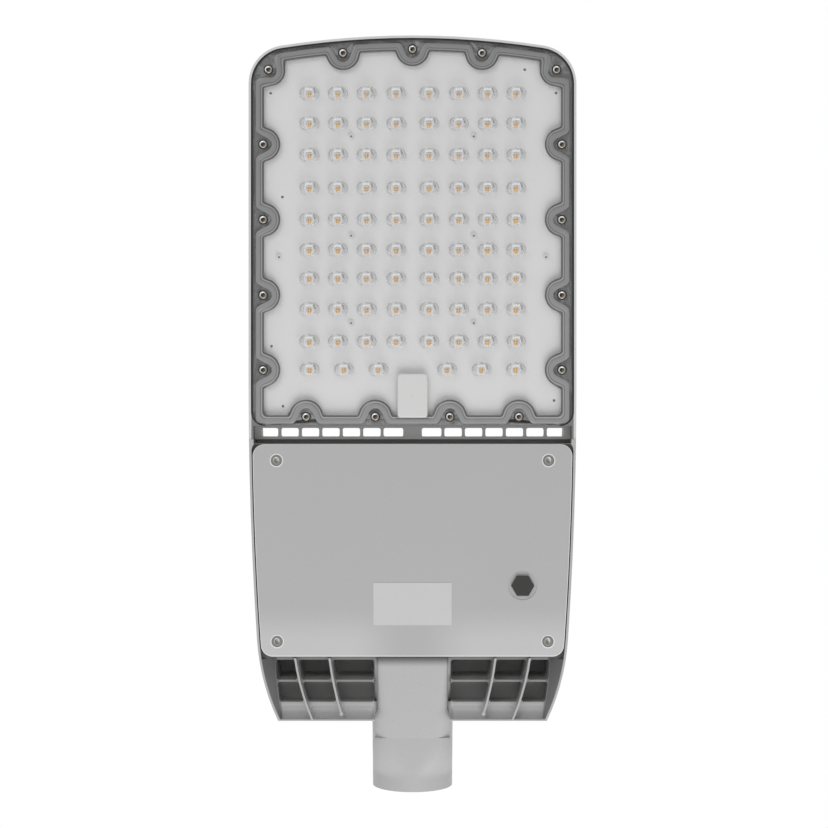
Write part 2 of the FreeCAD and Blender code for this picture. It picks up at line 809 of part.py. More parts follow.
# Bolts that clamp the pole stand in bosses on top of the socket
CLAMP_BOLTS = [(0, along) for along in (20.0, 48.0)]
pads = new_sketch(housing, "clamp_pads", offset="sizes.socket_bore + sizes.clamp_root")
add_circles(pads, CLAMP_BOLTS, "clamp_boss")
grow(housing, "clamp_bosses", pads, "sizes.clamp_top - sizes.socket_bore - sizes.clamp_root")


def drill(name, spots, alias, depth, base):
    """Blind or through round holes that start at a height and run upwards."""
    holes = new_sketch(housing, name, offset=base)
    add_circles(holes, spots, alias)
    return cut(housing, f"{name}_cut", holes, depth)


drill("clamp_holes", CLAMP_BOLTS, "clamp_hole",
      "sizes.clamp_top - sizes.socket_bore + 2 * sizes.clamp_root",
      "sizes.socket_bore - sizes.clamp_root")
drill("lens_holes", LENS_SCREWS, "lens_screw_hole",
      "sizes.lens_screw_long - sizes.flange_thick - sizes.gasket_thick + 2 * sizes.lap", SEAT)
drill("board_holes", BOARD_SCREWS, "board_screw_hole", "sizes.spreader_thick - sizes.lap", BOARD_SEAT)
drill("cover_holes", COVER_SCREWS, "cover_screw_hole", "sizes.cover_screw_long", LEDGE)
drill("wire_drop", [WIRE_DROP], "wire_hole", "sizes.wire_drop_deep", BOARD_SEAT)
wire_way = new_sketch(housing, "wire_way", "XZ_Plane", size("lap") - size("cavity_high"))
add_circles(wire_way, [(0, WIRE_HEIGHT)], "wire_hole")
cut(housing, "wire_passage", wire_way, f"{WIRE_DROP[1]} - sizes.cavity_high + sizes.lap", up=False)
for name, spots, held in (("driver_holes", DRIVER_SCREWS, "driver_flange_thick"),
                          ("surge_holes", SURGE_SCREWS, "surge_flange_thick"),
                          ("terminal_holes", TERMINAL_SCREWS, "terminal_flange_thick"),
                          ("earth_hole", [EARTH_SCREW], "tag_thick")):
    drill(name, spots, "small_screw_hole",
          f"sizes.small_screw_long - sizes.{held} + sizes.screw_end_gap + sizes.lap",
          ROOF - size("lap"))
doc.recompute()


# Lens plate and the ring that seals it
def lobed_ring(body, name, base, thick, outer, inner, inner_low, lobes):
    """Ring along the tray wall that widens round each screw."""
    ring = new_sketch(body, f"{name}_ring", offset=base)
    plate_low = size("tray_end") + size("lens_gap")
    add_outline(ring, nose_outline(outer, plate_low, size("tray_corner") - size("lens_gap")))
    add_outline(ring, nose_outline(inner, inner_low, size("window_corner")))
    grow(body, f"{name}_band", ring, thick)
    rounds = new_sketch(body, f"{name}_rounds", offset=base)
    add_circles(rounds, LENS_SCREWS, lobes)
    grow(body, f"{name}_lobes", rounds, thick)
    trim = new_sketch(body, f"{name}_trim", offset=base - size("lap"))
    far, past = 1.2 * size("half_width"), 2 * size("scallop_radius")
    add_outline(trim, block_outline(-far, far, plate_low - past, size("nose_reach") + past))
    add_outline(trim, nose_outline(outer, plate_low, size("tray_corner") - size("lens_gap")))
    cut(body, f"{name}_trimmed", trim, f"{thick} + 2 * sizes.lap")


lens_face = RIM + size("lens_recess")
lens_plate = new_body("lens_plate")
lobed_ring(lens_plate, "flange", lens_face, "sizes.flange_thick",
           size("rim_wall") + size("lens_gap"), size("window_inset"), size("window_end"),
           "scallop_radius")
window = new_sketch(lens_plate, "window", offset=lens_face + size("window_step"))
add_outline(window, nose_outline(size("window_inset") - size("window_lap"),
                                 size("window_end") - size("window_lap"), size("window_corner")))
grow(lens_plate, "window_plate", window, "sizes.flange_thick - sizes.window_step")

LENSES = [(side * across, along) for along in ROWS for across in COLUMNS for side in (1, -1)]
LENSES += [(side * across, LAST_ROW) for across in LAST_COLUMNS for side in (1, -1)]
lens_feet = new_sketch(lens_plate, "lens_feet", offset=lens_face + size("window_step"))
add_outlines(lens_feet, [stadium(across, along + size("lens_shift"), size("lens_length"),
                                 size("lens_width")) for across, along in LENSES])
grow(lens_plate, "lens_bodies", lens_feet, "sizes.lens_base_high", up=False,
     taper="-sizes.lens_base_draft")
shrink = size("lens_base_high") * math.tan(math.radians(size("lens_base_draft")))
lens_tops = new_sketch(lens_plate, "lens_tops",
                       offset=lens_face + size("window_step") - size("lens_base_high"))
add_outlines(lens_tops, [stadium(across, along + size("lens_shift"),
                                 size("lens_length") - 2 * shrink,
                                 size("lens_width") - 2 * shrink) for across, along in LENSES])
grow(lens_plate, "lens_domes", lens_tops, "sizes.lens_dome_high", up=False,
     taper="-sizes.lens_dome_draft")
cap_left, cap_right = -size("cap_wide") / 2, size("cap_wide") / 2
cap_low, cap_high = size("cap_low"), size("cap_low") + size("cap_long")
cap = new_sketch(lens_plate, "cap", offset=lens_face - size("cap_rise"))
add_outline(cap, block_outline(cap_left, cap_right, cap_low, cap_high))
grow(lens_plate, "cap_block", cap, "sizes.cap_rise + sizes.flange_thick")
wall = size("cap_wall")
cap_room = new_sketch(lens_plate, "cap_room", offset=lens_face - size("cap_rise") + wall)
add_outline(cap_room, block_outline(cap_left + wall, cap_right - wall,
                                    cap_low + wall + size("lap"), cap_high - wall))
cut(lens_plate, "cap_hollow", cap_room, "sizes.cap_rise + sizes.flange_thick")
rings = new_sketch(lens_plate, "rings", offset=lens_face)
holes = new_sketch(lens_plate, "holes", offset=lens_face)
add_circles(rings, LENS_SCREWS, "lens_screw_ring")
add_circles(holes, LENS_SCREWS, "lens_plate_hole")
cut(lens_plate, "screw_rings", rings, "sizes.lens_screw_sink")
cut(lens_plate, "screw_holes", holes, "sizes.flange_thick")

lens_gasket = new_body("lens_gasket")
lobed_ring(lens_gasket, "seal", SEAT - size("gasket_thick"), "sizes.gasket_thick",
           size("rim_wall") + size("lens_gap") + 0.3, size("board_inset"), size("window_end") - 0.5,
           "gasket_lobe")
seal_holes = new_sketch(lens_gasket, "seal_holes", offset=SEAT - size("gasket_thick"))
add_circles(seal_holes, LENS_SCREWS, "lens_plate_hole")
cut(lens_gasket, "seal_screw_holes", seal_holes, "sizes.gasket_thick")

# Board, lamps and the plug that feeds them
board_face = BOARD_SEAT - size("board_thick")
led_board = new_body("led_board")
board_plan = new_sketch(led_board, "board_plan", offset=board_face)
add_outline(board_plan, nose_outline(size("board_inset"), size("window_end") - 0.5, size("window_corner")))
grow(led_board, "board_sheet", board_plan, "sizes.board_thick")
bites = new_sketch(led_board, "bites", offset=board_face)
add_circles(bites, LENS_SCREWS, "board_bite")
add_circles(bites, BOARD_SCREWS, "board_clear_hole")
add_circles(bites, [WIRE_DROP], "wire_hole")
cut(led_board, "board_openings", bites, "sizes.board_thick")

led_lamps = new_body("led_lamps")
lamp_plan = new_sketch(led_lamps, "lamp_plan", offset=board_face)
half = size("lamp_size") / 2
add_outlines(lamp_plan, [block_outline(across - half, across + half, along - half, along + half)
                         for across, along in LENSES])
grow(led_lamps, "lamp_bodies", lamp_plan, "sizes.lamp_high", up=False)

board_plug = new_body("board_plug")
plug_plan = new_sketch(board_plug, "plug_plan", offset=board_face)
plug_gap = size("plug_gap")
add_outline(plug_plan, block_outline(cap_left + plug_gap, cap_right - plug_gap,
                                     cap_low + size("lap") + plug_gap, cap_high - plug_gap))
grow(board_plug, "plug_block", plug_plan, "sizes.plug_high", up=False)
plug_way = new_sketch(board_plug, "plug_way", offset=board_face)
add_circles(plug_way, [WIRE_DROP], "wire_hole")
cut(board_plug, "plug_entry", plug_way, "sizes.plug_high - sizes.cap_wall", up=False)


# Screws: a head with a hexagon socket and a plain shank, heads facing down
def hexagon(across, along, flats):
    reach = flats / math.sqrt(3)
    corners = [V(across + reach * math.cos(math.radians(turn)),
                 along + reach * math.sin(math.radians(turn)), 0) for turn in range(0, 360, 60)]
    return [Part.LineSegment(one, other) for one, other in zip(corners, corners[1:] + corners[:1])]


def screw_set(label, spots, under_head, head, high, shank, long, key):
    """Screws pointing up; under_head is the height of the face they bear on."""
    body = new_body(label)
    heads = new_sketch(body, f"{label}_heads", offset=under_head)
    shanks = new_sketch(body, f"{label}_shanks", offset=under_head - size("shank_lap"))
    keys = new_sketch(body, f"{label}_keys", offset=under_head - size(high))
    add_circles(heads, spots, head)
    add_circles(shanks, spots, shank)
    add_outlines(keys, [hexagon(*spot, size(key)) for spot in spots])
    grow(body, f"{label}_head", heads, f"sizes.{high}", up=False)
    grow(body, f"{label}_shank", shanks, f"sizes.{long} + sizes.shank_lap")
    cut(body, f"{label}_key", keys, f"sizes.{high} * sizes.key_share")
    return body


lens_screws = screw_set("lens_screws", LENS_SCREWS, lens_face + size("lens_screw_sink"),
                        "lens_screw_head", "lens_screw_high", "lens_screw_shank",
                        "lens_screw_long", "lens_screw_key")
board_screws = screw_set("board_screws", BOARD_SCREWS, board_face,
                         "board_screw_head", "board_screw_high", "board_screw_shank",
                         "board_screw_long", "board_screw_key")
cover_screws = screw_set("cover_screws", COVER_SCREWS, COVER_FACE + size("cover_screw_sink"),
                         "cover_screw_head", "cover_screw_high", "cover_screw_shank",
                         "cover_screw_long", "cover_screw_key")

# Cover of the driver box and its seal
driver_cover = new_body("driver_cover")
cover_plan = new_sketch(driver_cover, "cover_plan", offset=COVER_FACE)
add_outline(cover_plan, band_outline(size("cover_inset"), size("cover_low"), size("cover_high"),
                                     size("cover_corner"), size("cover_corner")))
cover_plate = grow(driver_cover, "cover_plate", cover_plan, "sizes.cover_thick")
doc.recompute()
cover_soft = dress(driver_cover, "Fillet", "cover_soft", cover_plate,
                   edges_where(cover_plate, lambda edge: edge.BoundBox.ZMax < COVER_FACE + 0.01),
                   Radius="sizes.cover_edge")
cover_rings = new_sketch(driver_cover, "cover_rings", offset=COVER_FACE)
cover_ways = new_sketch(driver_cover, "cover_ways", offset=COVER_FACE)
add_circles(cover_rings, COVER_SCREWS, "cover_screw_ring")
add_circles(cover_ways, COVER_SCREWS, "cover_plate_hole")
add_circles(cover_ways, [VENT], "vent_hole")
cut(driver_cover, "cover_screw_seats", cover_rings, "sizes.cover_screw_sink")
cut(driver_cover, "cover_screw_ways", cover_ways, "sizes.cover_thick")
vent_seat = new_sketch(driver_cover, "vent_seat", offset=COVER_FACE)
add_circles(vent_seat, [VENT], "vent_disc")
cut(driver_cover, "vent_sink", vent_seat, "sizes.vent_sink")

cover_gasket = new_body("cover_gasket")
cover_seal = new_sketch(cover_gasket, "cover_seal", offset=LEDGE - size("cover_seal"))
add_outline(cover_seal, cavity_outline(size("seal_inset")))
add_outline(cover_seal, cavity_outline(size("seal_inset") + size("cover_seal_width")))
grow(cover_gasket, "cover_seal_ring", cover_seal, "sizes.cover_seal")

# Pressure vent through the cover, with its washer and nut
vent_plug = new_body("vent_plug")
vent_head = new_sketch(vent_plug, "vent_head", offset=COVER_FACE)
add_outline(vent_head, hexagon(*VENT, size("vent_flats")))
grow(vent_plug, "vent_hexagon", vent_head, "sizes.vent_high", up=False)
vent_stem = new_sketch(vent_plug, "vent_stem", offset=COVER_FACE - size("shank_lap"))
add_circles(vent_stem, [VENT], "vent_neck")
grow(vent_plug, "vent_thread", vent_stem, "sizes.vent_long")
vent_way = new_sketch(vent_plug, "vent_way", offset=COVER_FACE + size("lap"))
add_circles(vent_way, [VENT], "vent_bore")
cut(vent_plug, "vent_channel", vent_way)

vent_washer = new_body("vent_washer")
washer_plan = new_sketch(vent_washer, "washer_plan", offset=COVER_FACE)
add_circles(washer_plan, [VENT], "washer_radius")
add_circles(washer_plan, [VENT], "vent_hole")
grow(vent_washer, "washer_ring", washer_plan, "sizes.vent_sink")

cover_back = COVER_FACE + size("cover_thick")
vent_nut = new_body("vent_nut")
nut_plan = new_sketch(vent_nut, "nut_plan", offset=cover_back)
add_outline(nut_plan, hexagon(*VENT, size("vent_nut_flats")))
add_circles(nut_plan, [VENT], "vent_hole")
grow(vent_nut, "nut_body", nut_plan, "sizes.vent_nut_high")

rating_plate = new_body("rating_plate")
label_plan = new_sketch(rating_plate, "label_plan", offset=COVER_FACE)
label_low = size("label_along") - size("label_wide") / 2
add_outline(label_plan, block_outline(-size("label_long") / 2, size("label_long") / 2,
                                      label_low, label_low + size("label_wide")))
grow(rating_plate, "label_sheet", label_plan, "sizes.label_thick", up=False)


# What hangs from the roof of the driver box
def centred(spot, long, wide):
    across, along = spot
    return block_outline(across - size(long) / 2, across + size(long) / 2,
                         along - size(wide) / 2, along + size(wide) / 2)


def hung_box(label, spot, flange, block, high, flange_thick, holes):
    """Closed case under a fixing flange that bears on the roof of the box."""
    body = new_body(label)
    flange_plan = new_sketch(body, f"{label}_flange_plan", offset=ROOF)
    add_outline(flange_plan, centred(spot, *flange))
    grow(body, f"{label}_flange", flange_plan, f"sizes.{flange_thick}", up=False)
    case_plan = new_sketch(body, f"{label}_case_plan", offset=ROOF)
    add_outline(case_plan, centred(spot, *block))
    case = grow(body, f"{label}_case", case_plan, f"sizes.{high}", up=False)
    doc.recompute()
    edges = edges_where(case, lambda edge: is_upright(edge) and edge.Length > size(high) / 2)
    dress(body, "Fillet", f"{label}_corners", case, edges, Radius="sizes.case_corner")
    ways = new_sketch(body, f"{label}_ways", offset=ROOF)
    add_circles(ways, holes, "small_clear_hole")
    cut(body, f"{label}_holes", ways, f"sizes.{flange_thick} + sizes.lap", up=False)
    return body


led_driver = hung_box("led_driver", DRIVER, ("driver_flange_long", "driver_flange_wide"),
                      ("driver_long", "driver_wide"), "driver_high", "driver_flange_thick",
                      DRIVER_SCREWS)
surge_protector = hung_box("surge_protector", SURGE, ("surge_flange_long", "surge_flange_wide"),
                           ("surge_long", "surge_wide"), "surge_high", "surge_flange_thick",
                           SURGE_SCREWS)
terminal_block = hung_box("terminal_block", TERMINAL, ("terminal_flange_long", "terminal_wide"),
                          ("terminal_long", "terminal_wide"), "terminal_high",
                          "terminal_flange_thick", TERMINAL_SCREWS)
poles = new_sketch(terminal_block, "poles", offset=ROOF - size("terminal_high"))
add_circles(poles, [(TERMINAL[0] + step * size("terminal_pitch"),
                     TERMINAL[1] + row * size("terminal_row"))
                    for step in (-1, 0, 1) for row in (1, -1)], "terminal_pole")
cut(terminal_block, "pole_wells", poles, "sizes.terminal_well")

for label, spots, seat in (
        ("driver_screws", DRIVER_SCREWS, ROOF - size("driver_flange_thick")),
        ("surge_screws", SURGE_SCREWS, ROOF - size("surge_flange_thick")),
        ("terminal_screws", TERMINAL_SCREWS, ROOF - size("terminal_flange_thick")),
        ("earth_screw", [EARTH_SCREW], ROOF - size("tag_thick"))):
    screw_set(label, spots, seat, "small_screw_head", "small_screw_high", "small_screw_shank",
              "small_screw_long", "small_screw_key")

earth_tag = new_body("earth_tag")
tag_plan = new_sketch(earth_tag, "tag_plan", offset=ROOF)
add_circles(tag_plan, [EARTH_SCREW], "tag_radius")
add_circles(tag_plan, [EARTH_SCREW], "small_clear_hole")
grow(earth_tag, "tag_ring", tag_plan, "sizes.tag_thick", up=False)

# Gland on the wall behind the pole socket and grommet on the way to the board
cable_gland = new_body("cable_gland")
gland_wall = -size("cavity_low")
gland_grip = new_sketch(cable_gland, "gland_grip", "XZ_Plane", gland_wall - size("lap"))
add_circles(gland_grip, [(0, 0)], "gland_thread")
grow(cable_gland, "gland_threads", gland_grip, "sizes.gland_grip + sizes.lap", up=True)
gland_nut = new_sketch(cable_gland, "gland_nut", "XZ_Plane", gland_wall)
add_outline(gland_nut, hexagon(0, 0, size("gland_flats")))
grow(cable_gland, "gland_hexagon", gland_nut, "sizes.gland_flange", up=False)
gland_cap = new_sketch(cable_gland, "gland_cap", "XZ_Plane", gland_wall)
add_circles(gland_cap, [(0, 0)], "gland_dome")
grow(cable_gland, "gland_dome", gland_cap, "sizes.gland_flange + sizes.gland_dome_long", up=False)
gland_way = new_sketch(cable_gland, "gland_way", "XZ_Plane", gland_wall + size("gland_grip") + size("lap"))
add_circles(gland_way, [(0, 0)], "gland_bore")
cut(cable_gland, "gland_channel", gland_way, up=False)

wire_grommet = new_body("wire_grommet")
grommet_wall = -size("cavity_high")
grommet_rim = new_sketch(wire_grommet, "grommet_rim", "XZ_Plane", grommet_wall)
add_circles(grommet_rim, [(0, WIRE_HEIGHT)], "grommet_flange")
grow(wire_grommet, "grommet_flange", grommet_rim, "sizes.grommet_flange_thick", up=True)
grommet_tube = new_sketch(wire_grommet, "grommet_tube", "XZ_Plane", grommet_wall + size("lap"))
add_circles(grommet_tube, [(0, WIRE_HEIGHT)], "grommet_sleeve")
grow(wire_grommet, "grommet_sleeve", grommet_tube, "sizes.grommet_long + sizes.lap", up=False)
grommet_way = new_sketch(wire_grommet, "grommet_way", "XZ_Plane", grommet_wall + size("grommet_long"))
add_circles(grommet_way, [(0, WIRE_HEIGHT)], "grommet_bore")
cut(wire_grommet, "grommet_channel", grommet_way, up=False)

clamp_bolts = new_body("clamp_bolts")
bolt_heads = new_sketch(clamp_bolts, "bolt_heads", offset="sizes.clamp_top")
add_outlines(bolt_heads, [hexagon(*spot, size("clamp_flats")) for spot in CLAMP_BOLTS])
grow(clamp_bolts, "bolt_hexagons", bolt_heads, "sizes.clamp_head_high")
bolt_shanks = new_sketch(clamp_bolts, "bolt_shanks", offset="sizes.socket_bore + sizes.clamp_clear")
add_circles(bolt_shanks, CLAMP_BOLTS, "clamp_shank")
grow(clamp_bolts, "bolt_threads", bolt_shanks,
     "sizes.clamp_top - sizes.socket_bore - sizes.clamp_clear + sizes.lap")
doc.recompute()

# Checks, then one file for each piece
for item in doc.Objects:
    if "Invalid" in item.State or "Error" in item.State:
        raise RuntimeError(f"{item.Name} did not build: {item.State}")
pieces = [item for item in doc.Objects if item.TypeId == "PartDesign::Body"]
for piece in pieces:
    if piece.Shape.isNull() or not piece.Shape.isValid():
        raise RuntimeError(f"{piece.Label} has no valid shape")
os.makedirs("parts", exist_ok=True)
for piece in pieces:
    piece.Shape.exportStep(f"parts/{piece.Label}.step")
    print(piece.Label, len(piece.Shape.Solids), "solids", round(piece.Shape.Volume / 1000, 1), "cm3")
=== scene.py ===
import math

import bpy
import numpy as np
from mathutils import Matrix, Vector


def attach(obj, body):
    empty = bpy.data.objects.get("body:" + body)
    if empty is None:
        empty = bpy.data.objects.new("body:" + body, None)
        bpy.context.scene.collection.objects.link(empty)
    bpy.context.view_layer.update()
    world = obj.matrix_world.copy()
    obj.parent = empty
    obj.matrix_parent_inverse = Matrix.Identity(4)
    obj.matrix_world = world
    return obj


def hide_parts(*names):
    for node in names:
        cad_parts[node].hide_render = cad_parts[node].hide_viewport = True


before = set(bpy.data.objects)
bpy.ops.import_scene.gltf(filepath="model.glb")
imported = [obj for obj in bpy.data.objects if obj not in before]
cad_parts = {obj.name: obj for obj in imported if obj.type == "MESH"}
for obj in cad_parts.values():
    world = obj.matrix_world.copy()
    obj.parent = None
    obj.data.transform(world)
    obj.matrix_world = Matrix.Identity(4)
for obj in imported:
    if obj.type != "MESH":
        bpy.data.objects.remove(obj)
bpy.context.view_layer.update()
mm = 0.001
print("frame loaded:", len(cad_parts), "nodes")


def addNode(tree, kind, inputs=None, **settings):
    # a shader node with its settings; an input is a value or another node's output
    made = tree.nodes.new("ShaderNode" + kind)
    for name, value in settings.items():
        setattr(made, name, value)
    for key, value in (inputs or {}).items():
        if isinstance(value, bpy.types.NodeSocket):
            tree.links.new(value, made.inputs[key])
        else:
            made.inputs[key].default_value = value
    return made


def calc(tree, operation, first, second=0.0, third=0.0):
    return addNode(tree, "Math", {0: first, 1: second, 2: third}, operation=operation).outputs[0]


def spread(tree, value, low, high, outLow=0.0, outHigh=1.0):
    # maps low..high to outLow..outHigh with a soft start and end
    made = addNode(tree, "MapRange", {"Value": value, "From Min": low, "From Max": high,
                                      "To Min": outLow, "To Max": outHigh},
                   interpolation_type="SMOOTHSTEP")
    return made.outputs["Result"]


def blend(tree, amount, first, second):
    made = addNode(tree, "Mix", {0: amount, 6: first, 7: second}, data_type="RGBA")
    return made.outputs[2]


def grey(value, warm=0.0):
    # linear colour from a value as seen on screen, 0 to 255
    level = (value / 255.0) ** 2.2
    return (level * (1 + warm), level, level * (1 - warm), 1.0)


def noise(tree, place, scale, detail=3.0, rough=0.55):
    made = addNode(tree, "TexNoise", {"Vector": place, "Scale": scale, "Detail": detail,
                                      "Roughness": rough})
    return made.outputs["Fac"]


def newGroup(name, inputs, outputs):
    # a shader group; inputs are (name, type, value), outputs (name, type)
    tree = bpy.data.node_groups.new(name, "ShaderNodeTree")
    for label, kind, value in inputs:
        socket = tree.interface.new_socket(label, in_out="INPUT", socket_type="NodeSocket" + kind)
        socket.default_value = value
    for label, kind in outputs:
        tree.interface.new_socket(label, in_out="OUTPUT", socket_type="NodeSocket" + kind)
    return tree, tree.nodes.new("NodeGroupInput").outputs, tree.nodes.new("NodeGroupOutput").inputs


def useGroup(tree, group, inputs):
    return addNode(tree, "Group", inputs, node_tree=group).outputs


def powderGroup():
    # fine orange peel of a powder coat, with a faint cloudiness and rare dark specks
    tree, given, result = newGroup("powderCoat", [
        ("Colour", "Color", (0.5, 0.5, 0.5, 1)), ("Peel Size", "Float", 700.0),
        ("Cloud", "Float", 0.05), ("Specks", "Float", 0.1)],
        [("Colour", "Color"), ("Roughness", "Float"), ("Height", "Float")])
    place = addNode(tree, "TexCoord").outputs["Object"]
    peel = noise(tree, place, given["Peel Size"], 2.0)
    cloud = noise(tree, place, 9.0, 4.0)
    speck = spread(tree, noise(tree, place, 420.0, 1.0), 0.7, 0.76)
    shade = calc(tree, "MULTIPLY_ADD", calc(tree, "SUBTRACT", cloud, 0.5), given["Cloud"], 1.0)
    shade = calc(tree, "MULTIPLY", shade,
                 calc(tree, "MULTIPLY_ADD", calc(tree, "SUBTRACT", peel, 0.5), 0.08, 1.0))
    tone = addNode(tree, "VectorMath", {0: given["Colour"], "Scale": shade}, operation="SCALE")
    dark = blend(tree, calc(tree, "MULTIPLY", speck, given["Specks"]), tone.outputs[0],
                 (0.12, 0.12, 0.12, 1))
    tree.links.new(dark, result["Colour"])
    tree.links.new(calc(tree, "MULTIPLY_ADD", cloud, 0.12, 0.36), result["Roughness"])
    tree.links.new(peel, result["Height"])
    return tree


def grimeGroup():
    # dust that settles on faces that look up, thicker in the cloudy patches
    tree, given, result = newGroup("settledDust", [
        ("Colour", "Color", (0.5, 0.5, 0.5, 1)), ("Dust Colour", "Color", (0.3, 0.28, 0.25, 1)),
        ("Amount", "Float", 0.3)], [("Colour", "Color"), ("Mask", "Float")])
    place = addNode(tree, "TexCoord").outputs["Object"]
    facing = addNode(tree, "SeparateXYZ", {0: addNode(tree, "NewGeometry").outputs["Normal"]})
    up = spread(tree, facing.outputs["Z"], 0.3, 0.95)
    patch = spread(tree, noise(tree, place, 26.0, 6.0, 0.65), 0.3, 0.72)
    mask = calc(tree, "MULTIPLY", calc(tree, "MULTIPLY", up, patch), given["Amount"])
    tree.links.new(blend(tree, mask, given["Colour"], given["Dust Colour"]), result["Colour"])
    tree.links.new(mask, result["Mask"])
    return tree


def mouldGroup():
    # moulded plastic or rubber: a matt texture and a little unevenness in tone
    tree, given, result = newGroup("mouldTexture", [
        ("Colour", "Color", (0.5, 0.5, 0.5, 1)), ("Grain Size", "Float", 1500.0),
        ("Shine", "Float", 0.45), ("Uneven", "Float", 0.1)],
        [("Colour", "Color"), ("Roughness", "Float"), ("Height", "Float")])
    place = addNode(tree, "TexCoord").outputs["Object"]
    grain = noise(tree, place, given["Grain Size"], 2.0)
    patch = noise(tree, place, 60.0, 4.0)
    shade = calc(tree, "MULTIPLY_ADD", calc(tree, "SUBTRACT", patch, 0.5), given["Uneven"], 1.0)
    tone = addNode(tree, "VectorMath", {0: given["Colour"], "Scale": shade}, operation="SCALE")
    tree.links.new(tone.outputs[0], result["Colour"])
    tree.links.new(calc(tree, "MULTIPLY_ADD", calc(tree, "SUBTRACT", patch, 0.5), 0.15,
                        given["Shine"]), result["Roughness"])
    tree.links.new(grain, result["Height"])
    return tree


powderCoat = powderGroup()
settledDust = grimeGroup()
mouldTexture = mouldGroup()


def newMaterial(name):
    material = bpy.data.materials.new(name)
    material.use_nodes = True
    tree = material.node_tree
    return material, tree, tree.nodes["Principled BSDF"]


def feed(tree, shader, **sockets):
    # Base_Color becomes Base Color, and so on
    for label, value in sockets.items():
        socket = shader.inputs[label.replace("_", " ")]
        if isinstance(value, bpy.types.NodeSocket):
            tree.links.new(value, socket)
        else:
            socket.default_value = value


def bumped(tree, height, strength, distance):
    made = addNode(tree, "Bump", {"Height": height, "Strength": strength, "Distance": distance})
    return made.outputs["Normal"]


def between(tree, value, low, high, soft):
    # 1 where low < value < high, with soft edges
    return calc(tree, "MULTIPLY", spread(tree, value, low - soft, low + soft),
                spread(tree, value, high + soft, high - soft))


